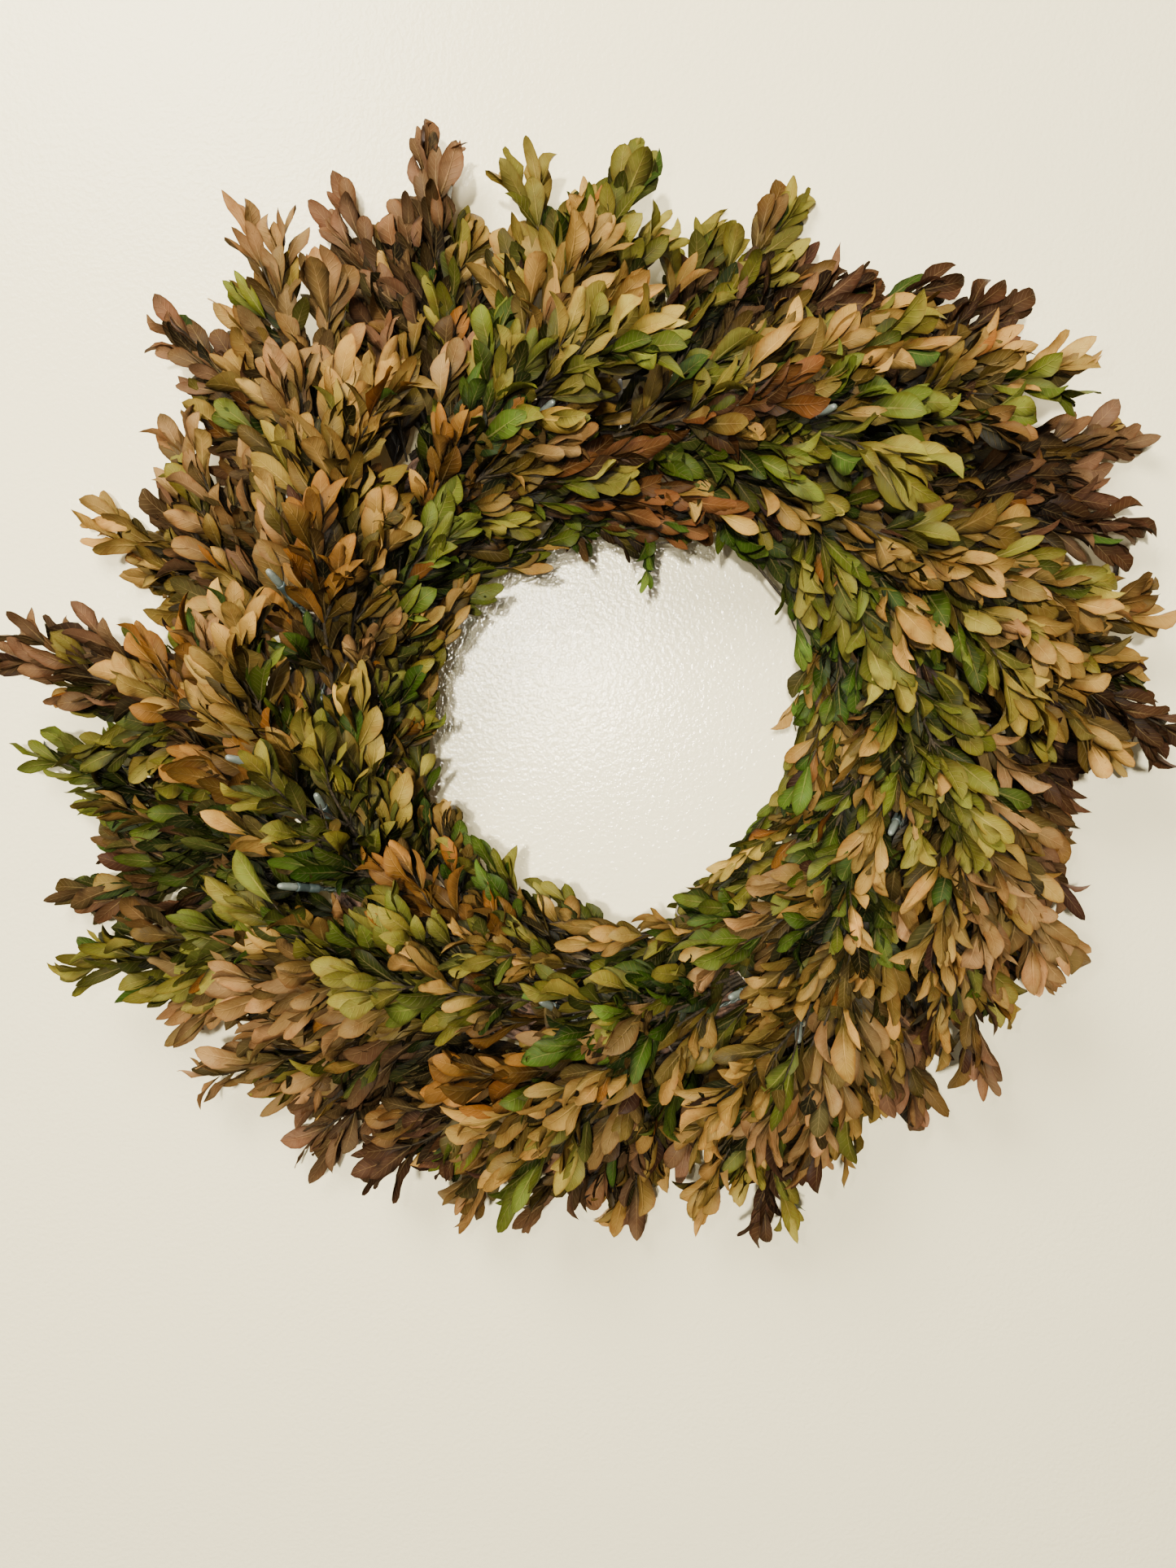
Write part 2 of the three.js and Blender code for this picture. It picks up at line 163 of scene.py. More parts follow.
def stepNode(tree, value, low, high, start=0.0, end=1.0):
    node = addNode(tree, "ShaderNodeMapRange", interpolation_type="SMOOTHSTEP", Value=value)
    for key, number in (("From Min", low), ("From Max", high), ("To Min", start), ("To Max", end)):
        node.inputs[key].default_value = number
    return node.outputs["Result"]


def noiseNode(tree, scale, detail, roughness=0.5):
    place = addNode(tree, "ShaderNodeTexCoord").outputs["Object"]
    node = addNode(
        tree, "ShaderNodeTexNoise", Vector=place, Scale=scale, Detail=detail, Roughness=roughness
    )
    return node.outputs["Fac"]


def mixColours(tree, factor, first, second, blend="MIX"):
    node = addNode(tree, "ShaderNodeMix", data_type="RGBA", blend_type=blend)
    for number, value in zip((0, 6, 7), (factor, first, second)):
        feed(tree, node.inputs[number], value)
    return node.outputs[2]


def timesTint(tree, base, tint):
    return mixColours(tree, 1.0, base, tint, "MULTIPLY")


def newGroup(name, inputs, outputs):
    group = bpy.data.node_groups.new(name, "ShaderNodeTree")
    for label, kind in inputs.items():
        group.interface.new_socket(label, in_out="INPUT", socket_type=kind)
    for label in outputs:
        group.interface.new_socket(label, in_out="OUTPUT", socket_type="NodeSocketFloat")
    return group, group.nodes.new("NodeGroupInput"), group.nodes.new("NodeGroupOutput")


def useGroup(tree, group, **values):
    return addNode(tree, "ShaderNodeGroup", node_tree=group, **values).outputs


def newMaterial(name):
    material = bpy.data.materials.new(name)
    material.use_nodes = True
    tree = material.node_tree
    return material, tree, tree.nodes["Principled BSDF"]


def setSurface(tree, shader, colour, roughness, shine, height, bump):
    # bump is its strength and its depth
    node = addNode(tree, "ShaderNodeBump", Height=height, Strength=bump[0], Distance=bump[1])
    feed(tree, shader.inputs["Base Color"], colour)
    feed(tree, shader.inputs["Roughness"], roughness)
    shader.inputs["Specular IOR Level"].default_value = shine
    tree.links.new(node.outputs["Normal"], shader.inputs["Normal"])


# Shared node groups; each mask runs from a low to a high value

veinSettings = {
    "pairs": 9, "slant": -0.2,
    "ribWidth": (0.0, 0.7, 0.30, 0.055),  # narrows towards the tip
    "rib": (0.45, 1.0, 1.0, 0.0),
    "vein": (0.72, 1.0),
    "fade": (0.7, 0.95, 1.0, 0.0),  # the veins end before the edge
    "edge": (0.62, 1.0),
}


def leafVeins():
    # masks over one leaf, from its own map: u runs across from -1 to 1 and v along from 0 to 1, and the
    # underside of the leaf has 4 added to u
    names = ("Rib", "Veins", "Edge", "Underside", "Along")
    group, given, result = newGroup("leafVeins", {"Map": "NodeSocketVector"}, names)
    split = addNode(group, "ShaderNodeSeparateXYZ", Vector=given.outputs["Map"])
    under = mathNode(group, "GREATER_THAN", split.outputs["X"], 2)
    across = mathNode(group, "ABSOLUTE", mathNode(group, "MULTIPLY_ADD", under, -4, split.outputs["X"]))
    along = split.outputs["Y"]
    ribWidth = stepNode(group, along, *veinSettings["ribWidth"])
    rib = stepNode(group, mathNode(group, "DIVIDE", across, ribWidth), *veinSettings["rib"])
    slanted = mathNode(group, "MULTIPLY_ADD", across, veinSettings["slant"], along)
    turns = mathNode(group, "MULTIPLY", slanted, 2 * math.pi * veinSettings["pairs"])
    wave = mathNode(group, "SINE", turns)
    line = stepNode(group, wave, *veinSettings["vein"])
    veins = mathNode(group, "MULTIPLY", line, stepNode(group, across, *veinSettings["fade"]))
    edge = stepNode(group, across, *veinSettings["edge"])
    for name, value in zip(names, (rib, veins, edge, under, along)):
        group.links.new(value, result.inputs[name])
    return group


grainSettings = {
    "streaks": (0.35, 0.65), "cracks": (0.4, 0.58), "crackDetail": 2.0, "crackHeight": 0.6,
    "finer": 4.5,  # scale of the cracks over that of the streaks
}


def barkGrain():
    # soft streaks with finer cracks between them
    names = ("Streaks", "Cracks", "Height")
    inputs = {"Scale": "NodeSocketFloat", "Detail": "NodeSocketFloat"}
    group, given, result = newGroup("barkGrain", inputs, names)
    scale = given.outputs["Scale"]
    fine = mathNode(group, "MULTIPLY", scale, grainSettings["finer"])
    streaks = noiseNode(group, scale, given.outputs["Detail"])
    streaks = stepNode(group, streaks, *grainSettings["streaks"])
    cracks = noiseNode(group, fine, grainSettings["crackDetail"])
    cracks = stepNode(group, cracks, *grainSettings["cracks"])
    height = mathNode(group, "MULTIPLY_ADD", cracks, grainSettings["crackHeight"], streaks)
    for name, value in zip(names, (streaks, cracks, height)):
        group.links.new(value, result.inputs[name])
    return group


veinGroup = leafVeins()
grainGroup = barkGrain()


# Materials

leafFinish = {
    "patchNoise": (110.0, 4.0, 0.6), "patchMask": (0.42, 0.7), "patches": 0.55,
    "aged": (0.66, 0.45, 0.36, 1),  # multiplies the leaf's colour in patches
    "underside": (1.28, 1.24, 1.40, 1),
    "foot": (0.0, 0.55, 0.9, 0.0),  # darker, greener foot of the leaf, partly its own colour and partly painted shade, running upwards
    "paintedFootShade": (0.30, 0.38, 0.20, 1),
    "lit": (1.65, 1.55, 1.50, 1),  # ribs and veins
    "rib": (0.55, 0.38, 0.14, 1),
    "ribTint": 0.16, "ribShare": 0.5, "veinShare": 0.22, "edgeShare": 1.1,
    "speckNoise": (900.0, 2.0), "speckMask": (0.66, 0.74), "speckShare": 0.45,
    "speck": (0.035, 0.018, 0.010, 1),
    "roughness": 0.5, "rougherUnder": 0.18, "rougherPatches": 0.1, "shine": 0.042,
    "veinHeight": 0.35, "patchHeight": 0.8, "bump": (0.7, 0.0006),
}


def leafMaterial(name):
    finish = leafFinish
    material, tree, shader = newMaterial(name)
    leafMap = addNode(tree, "ShaderNodeUVMap", uv_map="leafMap")
    masks = useGroup(tree, veinGroup, Map=leafMap.outputs["UV"])
    patches = noiseNode(tree, *finish["patchNoise"])
    patchMask = stepNode(tree, patches, *finish["patchMask"])
    specks = stepNode(tree, noiseNode(tree, *finish["speckNoise"]), *finish["speckMask"])
    foot = stepNode(tree, masks["Along"], *finish["foot"])
    dry = mathNode(tree, "MULTIPLY", masks["Edge"], patches)
    # the leaf's colour, with the painted shade from covering leaves already in it
    base = addNode(tree, "ShaderNodeAttribute", attribute_name="leafColour").outputs["Color"]
    aged = timesTint(tree, base, finish["aged"])
    base = mixColours(tree, mathNode(tree, "MULTIPLY", patchMask, finish["patches"]), base, aged)
    base = mixColours(tree, masks["Underside"], base, timesTint(tree, base, finish["underside"]))
    # painted shade, partly the greener colour of the foot, darkens the foot of each leaf
    base = mixColours(tree, foot, base, timesTint(tree, base, finish["paintedFootShade"]))
    light = mixColours(tree, finish["ribTint"], timesTint(tree, base, finish["lit"]), finish["rib"])
    for mask, share, colour in (
        (masks["Rib"], "ribShare", light),
        (masks["Veins"], "veinShare", light),
        (dry, "edgeShare", aged),
        (specks, "speckShare", finish["speck"]),
    ):
        base = mixColours(tree, mathNode(tree, "MULTIPLY", mask, finish[share]), base, colour)
    rough = mathNode(tree, "MULTIPLY_ADD", masks["Underside"], finish["rougherUnder"], finish["roughness"])
    rough = mathNode(tree, "MULTIPLY_ADD", patchMask, finish["rougherPatches"], rough)
    height = mathNode(tree, "MULTIPLY_ADD", masks["Veins"], finish["veinHeight"], masks["Rib"])
    height = mathNode(tree, "MULTIPLY_ADD", patches, finish["patchHeight"], height)
    setSurface(tree, shader, base, rough, finish["shine"], height, finish["bump"])
    return material


# bark is streaked all over; wire and plastic have light scuffs and a film of dust
barkWear = {
    "detail": 4.0, "streaks": 1.0, "cracks": 0.35, "rougher": 0.15, "shine": 0.12, "bump": (0.6, 0.0003),
}
usedWear = {
    "detail": 3.0, "streaks": 0.6, "cracks": 0.3, "rougher": 0.16, "shine": 0.5, "bump": (0.3, 0.0001),
}


def wornMaterial(name, wear, colours, scale, roughness, metal=0.0):
    # the colours are those of the surface, of its streaks and of its cracks
    material, tree, shader = newMaterial(name)
    grain = useGroup(tree, grainGroup, Scale=scale, Detail=wear["detail"])
    base, streaks, cracks = ((*colour, 1) for colour in colours)
    base = mixColours(tree, mathNode(tree, "MULTIPLY", grain["Streaks"], wear["streaks"]), base, streaks)
    base = mixColours(tree, mathNode(tree, "MULTIPLY", grain["Cracks"], wear["cracks"]), base, cracks)
    rough = mathNode(tree, "MULTIPLY_ADD", grain["Streaks"], wear["rougher"], roughness)
    shader.inputs["Metallic"].default_value = metal
    setSurface(tree, shader, base, rough, wear["shine"], grain["Height"], wear["bump"])
    return material


stemColours = (0.014, 0.010, 0.005), (0.044, 0.030, 0.014), (0.008, 0.006, 0.003)
stickColours = (0.040, 0.021, 0.013), (0.150, 0.080, 0.046), (0.014, 0.008, 0.005)
bindingColours = (0.130, 0.110, 0.085), (0.240, 0.200, 0.150), (0.090, 0.070, 0.050)
hangerColours = (0.200, 0.200, 0.195), (0.320, 0.315, 0.300), (0.110, 0.100, 0.085)
cordColours = (0.012, 0.026, 0.018), (0.022, 0.040, 0.028), (0.036, 0.044, 0.034)
socketColours = (0.024, 0.042, 0.038), (0.042, 0.062, 0.054), (0.075, 0.088, 0.074)
bulbColours = (0.105, 0.128, 0.098), (0.165, 0.180, 0.145), (0.100, 0.100, 0.074)
stemMaterial = wornMaterial("stemBark", barkWear, stemColours, 420.0, 0.65)
stickMaterial = wornMaterial("stickBark", barkWear, stickColours, 260.0, 0.65)
bindingMaterial = wornMaterial("bindingWire", usedWear, bindingColours, 700.0, 0.42, metal=0.7)
hangerMaterial = wornMaterial("hangerWire", usedWear, hangerColours, 500.0, 0.34, metal=0.9)
cordMaterial = wornMaterial("cordPlastic", usedWear, cordColours, 600.0, 0.44)
socketMaterial = wornMaterial("socketPlastic", usedWear, socketColours, 500.0, 0.40)
bulbMaterial = wornMaterial("frostedBulb", usedWear, bulbColours, 420.0, 0.30)


# Places round the ring: phi from +X towards +Z, theta round the tube from outwards to the front

ringLow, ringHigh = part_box("twig_ring")
ring = {
    "radius": 0.150, "tubeWidth": 0.046, "tubeDepth": 0.040, "backFace": -0.002,
    "bundles": 8, "firstRidge": 22.5, "grooveDepth": 0.0026,
}
ringCentre = Vector((0, -ring["tubeDepth"] / 2, (ringLow.z + ringHigh.z) / 2))


def outwards(phi):
    return Vector((math.cos(math.radians(phi)), 0, math.sin(math.radians(phi))))


def clockwise(phi):
    return Vector((math.sin(math.radians(phi)), 0, -math.cos(math.radians(phi))))


def heading(phi, lean, lift):
    lean, lift = math.radians(lean), math.radians(lift)
    flat = clockwise(phi) * math.cos(lean) + outwards(phi) * math.sin(lean)
    return flat * math.cos(lift) + towardsViewer * math.sin(lift)


def tubeNormal(phi, theta):
    theta = math.radians(theta)
    return outwards(phi) * math.cos(theta) + towardsViewer * math.sin(theta)


def tubePoint(phi, theta, height):
    turn = math.radians(theta)
    point = ringCentre.copy()
    point += outwards(phi) * (ring["radius"] + (ring["tubeWidth"] / 2 + height) * math.cos(turn))
    point += towardsViewer * (ring["tubeDepth"] / 2 + height) * math.sin(turn)
    point.y = min(point.y, ring["backFace"] + height)
    return point


# Ring of bundled sticks

stickSettings = {
    "around": 30,  # sticks side by side round the tube
    "perLap": 9,  # lengths end to end round the ring
    "jitter": 0.6,  # shares of a length
    "stagger": 0.37,
    "sweep": (34, 62),  # degrees of the ring
    "drift": 7,  # degrees round the tube
    "radius": (0.0015, 0.0026), "inGroove": 0.7, "sunk": 0.0016, "waver": 0.0004, "taper": 0.25, "step": 6,
    "core": (16, 64, -0.0052),  # sides, steps round the ring, and height over the twigs
    "seed": 7,
}


def addCore(bm):
    sides, steps, height = stickSettings["core"]
    for vert in bmesh.ops.create_circle(bm, segments=sides, radius=1)["verts"]:
        turn = math.atan2(vert.co.y, vert.co.x)
        vert.co = tubePoint(0, math.degrees(turn), height)
    bmesh.ops.spin(
        bm,
        geom=bm.verts[:] + bm.edges[:],
        cent=ringCentre,
        axis=(0, 1, 0),
        angle=2 * math.pi,
        steps=steps,
        use_merge=True,
    )
    bmesh.ops.remove_doubles(bm, verts=bm.verts[:], dist=1e-6)
    bmesh.ops.recalc_face_normals(bm, faces=bm.faces[:])


def stick(lane, number, draw):
    rule = stickSettings
    theta = 360 * lane / rule["around"]
    start = 360 * (number + rule["jitter"] * draw.random() + rule["stagger"] * lane) / rule["perLap"]
    sweep = draw.uniform(*rule["sweep"])
    radius = draw.uniform(*rule["radius"])
    drift = draw.uniform(-rule["drift"], rule["drift"])
    ridges = math.cos(math.radians(ring["bundles"] * (theta - ring["firstRidge"])))
    groove = ring["grooveDepth"] * (0.5 - 0.5 * ridges)
    sunk = radius + rule["inGroove"] * groove + draw.uniform(0, rule["sunk"])
    steps = max(3, round(sweep / rule["step"]))
    points = []
    for i in range(steps + 1):
        phi = start - sweep * i / steps
        height = -sunk + rule["waver"] * math.sin(2.3 * i + lane)
        place = tubePoint(phi, theta + drift * math.sin(3 * i / steps), height)
        points.append((place, radius * (1 - rule["taper"] * i / steps)))
    return points


def makeTwigRing():
    draw = random.Random(stickSettings["seed"])
    bm = bmesh.new()
    addCore(bm)
    lanes, lengths = range(stickSettings["around"]), range(stickSettings["perLap"])
    addRods(bm, [stick(lane, number, draw) for lane in lanes for number in lengths])
    addPiece(bm, "twigRing", [stickMaterial], "twig_ring")


makeTwigRing()
print("twig ring made")


# Leaves: one thin closed blade for each of a few forms, with its own map

# width, shoulder, fold, bend, curl, wave and twist, as shares of the leaf's length; a larger shoulder
# puts the widest place nearer the tip, and twist is in degrees
leafForms = [
    (0.20, 1.85, 0.40, 0.14, 0.08, 0.10, 14),
    (0.22, 1.65, 0.55, -0.10, 0.20, 0.08, -20),
    (0.18, 1.50, -0.25, 0.26, 0.05, 0.12, 26),
    (0.21, 1.95, 0.70, 0.10, 0.14, 0.06, 10),
    (0.17, 1.40, 0.50, -0.22, -0.12, 0.12, -30),
    (0.23, 1.80, 0.40, 0.20, 0.20, 0.12, 6),
    (0.20, 1.60, -0.40, 0.10, 0.14, 0.10, 24),
    (0.15, 1.35, 0.90, 0.24, 0.14, 0.10, -14),
    (0.22, 2.05, 0.28, -0.06, 0.24, 0.10, -8),
    (0.19, 1.70, 0.18, 0.34, -0.16, 0.15, 40),
]
leafBlade = {
    "across": 2, "along": 7, "thickness": 0.012, "roundness": 0.60,
    "crowding": 1.5,  # brings the rows closer together towards the tip
    "foot": 0.03,  # keeps the foot from closing to a point
    "scallop": 0.45,  # share of the wave that shows in the outline
    "swell": 0.6,  # share of the wave that shows in the face
}


def leafForm(number, width, shoulder, fold, bend, curl, wave, twist):
    # the leaf is 1 long: it starts at the origin, runs along +Y and faces +Z
    bm = bmesh.new()
    bmesh.ops.create_grid(bm, x_segments=leafBlade["across"], y_segments=leafBlade["along"], size=1)
    leafMap = bm.loops.layers.uv.new("leafMap")
    bm.verts.layers.float_color.new("leafColour")
    for vert in bm.verts:
        vert.co.y = 1 - ((1 - vert.co.y) / 2) ** leafBlade["crowding"]
    for face in bm.faces:
        face.smooth = True
        for loop in face.loops:
            loop[leafMap].uv = loop.vert.co.xy
    copied = bmesh.ops.duplicate(bm, geom=bm.faces[:])["geom"]
    lower = [item for item in copied if isinstance(item, bmesh.types.BMFace)]
    bmesh.ops.reverse_faces(bm, faces=lower)
    underside = {vert for face in lower for vert in face.verts}
    for face in lower:
        for loop in face.loops:
            loop[leafMap].uv.x += 4
    for vert in bm.verts:
        across, along = vert.co.x, vert.co.y
        isRim = abs(across) > 0.99 or along < 0.001 or along > 0.999
        begun = leafBlade["foot"] + (1 - leafBlade["foot"]) * along
        swell = max(0.0, math.sin(math.pi * begun ** shoulder))
        half = width * swell ** leafBlade["roundness"]
        half *= 1 + leafBlade["scallop"] * wave * math.sin(7 * along + number + 2 * across)
        x = across * half
        z = fold * abs(x)
        z -= bend * along ** 2 + curl * along ** 6
        z += wave * swell * leafBlade["swell"] * abs(across) * math.sin(8 * along + 1.7 * number + across)
        turn = math.radians(twist) * along
        z += x * math.sin(turn)
        if vert in underside and not isRim:
            z -= leafBlade["thickness"]
        vert.co = (x * math.cos(turn), along, z)
    bmesh.ops.remove_doubles(bm, verts=bm.verts[:], dist=1e-4)
    for edge in bm.edges:
        edge.smooth = len({bool(face in lower) for face in edge.link_faces}) == 1
    return meshOf(bm, f"leafForm{number}")


leafMeshes = [leafForm(number, *form) for number, form in enumerate(leafForms)]


# Leaf colours: at the root, half way and at the tip of a sprig; the dark root colours are partly the
# leaves' own colour and partly painted shade deep in the bunches

tones = {
    "tan": ((0.020, 0.023, 0.004), (0.094, 0.064, 0.011), (0.300, 0.172, 0.036)),
    "amber": ((0.021, 0.021, 0.004), (0.094, 0.047, 0.008), (0.200, 0.090, 0.014)),
    "rust": ((0.018, 0.014, 0.003), (0.060, 0.025, 0.006), (0.116, 0.044, 0.010)),
    "pink": ((0.027, 0.026, 0.006), (0.116, 0.071, 0.018), (0.248, 0.134, 0.042)),
    "straw": ((0.022, 0.033, 0.004), (0.102, 0.093, 0.011), (0.280, 0.192, 0.032)),
    "olive": ((0.014, 0.024, 0.002), (0.055, 0.062, 0.006), (0.168, 0.140, 0.018)),
    "moss": ((0.010, 0.021, 0.002), (0.034, 0.053, 0.004), (0.100, 0.113, 0.012)),
    "fern": ((0.007, 0.017, 0.001), (0.020, 0.044, 0.003), (0.050, 0.083, 0.008)),
    "umber": ((0.014, 0.010, 0.003), (0.030, 0.014, 0.005), (0.052, 0.023, 0.009)),
    "turning": ((0.010, 0.021, 0.002), (0.036, 0.052, 0.005), (0.060, 0.027, 0.010)),
    "cocoa": ((0.022, 0.018, 0.005), (0.062, 0.035, 0.012), (0.134, 0.068, 0.028)),
    "bronze": ((0.016, 0.017, 0.003), (0.050, 0.034, 0.007), (0.118, 0.061, 0.015)),
}
# single leaves of another colour
strays = [(0.180, 0.070, 0.010), (0.030, 0.056, 0.006), (0.032, 0.013, 0.006), (0.300, 0.190, 0.040)]
leafShade = {
    "strays": 0.04,  # share of the leaves
    "bright": (0.70, 1.18), "warm": (0.93, 1.07),
}


def toneAt(tone, age):
    root, middle, tip = tones[tone]
    low, high, share = (root, middle, 2 * age) if age < 0.5 else (middle, tip, 2 * age - 1)
    return [a + (b - a) * share for a, b in zip(low, high)]


# Rows of bunches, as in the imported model. Each row's tones go clockwise from the top, with a pair for
# the two long sprigs of each bunch.
rows = [
    {
        "name": "back", "theta": -22.5, "turn": 0, "leaf": 0.041, "size": (0.022, 0.031),
        "tipDepth": -0.006,
        "tones": "olive umber, cocoa umber, umber cocoa, cocoa tan, tan cocoa, "
                 "cocoa pink, turning moss, tan pink, cocoa cocoa",
        "mixed": "bronze cocoa olive tan", "kept": 0.75,
    },
    {
        "name": "outer", "theta": 22.5, "turn": 1, "leaf": 0.041, "size": (0.022, 0.031),
        "tipDepth": -0.030,
        "tones": "umber tan, tan umber, pink cocoa, umber tan, pink umber, "
                 "pink olive, olive cocoa, cocoa pink, straw olive",
        "mixed": "tan olive straw bronze moss", "kept": 0.6,
    },
    {
        "name": "front", "theta": 67.5, "turn": 0, "leaf": 0.040, "size": (0.023, 0.033),
        "lean": 16, "lift": 21, "length": 0.134,
        "tones": "tan olive, tan straw, pink tan, pink tan, tan amber, "
                 "pink olive, amber tan, pink tan, tan straw",
        "mixed": "tan olive moss straw tan pink", "kept": 0.5,
    },
    {
        "name": "crown", "theta": 112.5, "turn": 1, "leaf": 0.038, "size": (0.021, 0.030),
        "lean": -6, "lift": 22, "length": 0.124,
        "tones": "tan olive, olive tan, tan pink, tan olive, olive amber, "
                 "olive straw, amber moss, moss olive, rust olive",
        "mixed": "olive moss fern tan pink tan", "kept": 0.45,
    },
    {
        "name": "inner", "theta": 157.5, "turn": 0, "leaf": 0.030, "size": (0.018, 0.026),
        "lean": -20, "lift": 13, "length": 0.112,
        "tones": "moss fern, fern tan, moss olive, olive tan, tan olive, "
                 "straw tan, pink tan, amber moss, rust rust",
        "mixed": "moss fern olive tan", "kept": 0.5,
    },
]
for row in rows:
    row["tones"] = [pair.split() for pair in row["tones"].split(", ")]
    row["mixed"] = row["mixed"].split()
# degrees round the ring and reach from its middle of the tips in the outline, two for each bunch
tips = {
    "back": [
        (70, 0.295, 54, 0.290), (30, 0.305, 17, 0.288), (357, 0.270, 338, 0.258),
        (307, 0.258, 296, 0.264), (268, 0.280, 257, 0.268), (232, 0.296, 219, 0.300),
        (196, 0.318, 184, 0.322), (158, 0.305, 146, 0.284), (115, 0.304, 104, 0.318),
    ],
    "outer": [
        (46, 0.297, 38, 0.310), (11, 0.284, 2, 0.290), (328, 0.262, 320, 0.284),
        (287, 0.292, 279, 0.262), (251, 0.273, 240, 0.276), (211, 0.282, 203, 0.316),
        (178, 0.280, 169, 0.324), (137, 0.312, 126, 0.315), (98, 0.290, 86, 0.300),
    ],
}
sprigRule = {
    "turns": 18, "firstTurn": 84, "knotHeight": 0.0038, "knotLength": 0.016, "stemSpread": 0.0018,
    "leafAngle": 42, "firstPair": 0.015, "pairSpacing": 0.031, "mostPairs": 3,
    "follow": 1.6, "droop": 1.1, "fan": 13, "fanLift": 5, "tipStep": 0.014,
    "leanPlay": 8, "liftPlay": 4, "spreadPlay": 5,
    "length": (0.94, 0.14),  # least share and play
    "facing": (0.9, 0.35),  # shares of the viewer's side and of the tube's normal
    "roll": (6, 8),  # degrees by side, and play
    "seed": 44,
}
bends = [
    (length, lift, lean)
    for length in (1, 0.88, 0.76, 0.64)
    for lift in (0, 3, -3, 6, -6, 9, -9, 12, -12)
    for lean in (0, 4, -4, 8, -8, 12, -12)
]


def seededDraws(seed):
    state = seed
    while True:
        state = state * 48271 % 2147483647
        yield state / 2147483647


def turnAngle(turn, theta):
    step = 360 / sprigRule["turns"]
    return sprigRule["firstTurn"] - step * (turn + (theta - rows[0]["theta"]) / 360)


def turned(vector, axis, degrees):
    return Matrix.Rotation(math.radians(degrees), 3, axis) @ vector


def plannedSprig(bunch, side, draws):
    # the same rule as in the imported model, with its draws in the same order
    rule, row, phi = sprigRule, bunch["row"], bunch["phi"]
    root = tubePoint(phi, row["theta"], rule["knotHeight"]) + clockwise(phi) * rule["knotLength"] / 4
    if "lean" in row:
        lean = row["lean"] + side * rule["fan"] + rule["leanPlay"] * (next(draws) - 0.5)
        lift = row["lift"] - side * rule["fanLift"] * math.copysign(1, row["lean"])
        lift += rule["liftPlay"] * (next(draws) - 0.5)
        length = row["length"] * (rule["length"][0] + rule["length"][1] * next(draws))
        sag = outwards(phi) * -rule["follow"] * length ** 2 / 2
        sag += towardsViewer * -rule["droop"] * length ** 2 / 2
        direction = heading(phi, lean, lift)
    else:
        angle, reach = tips[row["name"]][bunch["number"] - 1][2 if side < 0 else 0:][:2]
        tip = ringCentre + outwards(angle) * reach
        tip.y = row["tipDepth"] - (rule["tipStep"] if side < 0 else 0)
        length = (tip - root).length
        direction = (tip - root).normalized()
        sag = Vector()
    root += towardsViewer.cross(direction).normalized() * side * rule["stemSpread"]
    roll, spread, _ = next(draws), next(draws), next(draws)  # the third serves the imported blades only
    toViewer, toNormal = rule["facing"]
    return {
        "root": root, "direction": direction, "length": length, "sag": sag, "side": side,
        "facing": towardsViewer * toViewer + tubeNormal(phi, row["theta"]) * toNormal,
        "roll": rule["roll"][0] * side + rule["roll"][1] * (roll - 0.5),
        "spread": rule["spreadPlay"] * (spread - 0.5),
    }


def arched(start, direction, length, sag):
    end = start + direction * length
    return {"start": start, "bend": start + direction * length / 2, "tip": end + sag, "length": length}


def pointOn(stem, share):
    rest = 1 - share
    return stem["start"] * rest ** 2 + stem["bend"] * 2 * rest * share + stem["tip"] * share ** 2


def headingOn(stem, share):
    way = (stem["bend"] - stem["start"]) * (1 - share) + (stem["tip"] - stem["bend"]) * share
    return way.normalized()


def between(first, second, share, reach):
    # a stem between two others of its bunch
    start, bend, tip = (first[key].lerp(second[key], share) for key in ("start", "bend", "tip"))
    bend, tip = (start + (point - start) * reach for point in (bend, tip))
    return {"start": start, "bend": bend, "tip": tip, "length": (tip - start).length}


def bentAsPacked(sprig, corners):
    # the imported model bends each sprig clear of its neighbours: the bend that it took is the one whose
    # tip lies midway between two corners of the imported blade
    best, bestMiss = None, 1.0
    sideways = sprig["direction"].cross(towardsViewer).normalized()
    for length, lift, lean in bends:
        direction = turned(turned(sprig["direction"], sideways, lift), towardsViewer, lean)
        stem = arched(sprig["root"], direction, length * sprig["length"], sprig["sag"])
        near = corners.find_n(stem["tip"], 2)
        miss = ((near[0][0] + near[1][0]) / 2 - stem["tip"]).length
        if miss < bestMiss:
            best, bestMiss = stem, miss
    return best, bestMiss


def cornersOf(node):
    places = {tuple(round(value, 6) for value in vert.co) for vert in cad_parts[node].data.vertices}
    corners = KDTree(len(places))
    for number, place in enumerate(sorted(places)):
        corners.insert(place, number)
    corners.balance()
    return corners


# Growing a sprig: leaves in pairs along the stem and along short side twigs

habit = {
    "seed": 21,
    "firstLeaf": 0.008, "pairSpacing": 0.0090, "sideSpacing": 0.0086, "leafAngle": (9, 26),
    "narrowing": 0.25,  # how much closer to the stem the leaves at its tip lie
    "pairTurn": (58, 22),  # degrees from one pair to the next, and play
    "pairSize": (0.72, 0.6, 0.4),  # size at the foot; share where leaves get smaller again, and by how much
    "endAngle": (7, 21), "endRise": 0.2, "endSize": (0.92, 0.78), "endTurn": 0.4,
    "turnedOut": 0.25, "laidBack": 0.15,  # how far a leaf faces out of its sprig and back along it
    "roll": 32,  # degrees that a leaf may turn about its own length
    "pitch": 9,  # degrees that it may rise from its sprig
    "flipped": 0.3,  # share of leaves that show their underside
    "width": (0.78, 1.02), "middle": 0.6,
    "stemRadius": 0.0011, "twigRadius": 0.0006, "stemStep": 0.012, "taper": 0.5, "joints": 0.12,
}
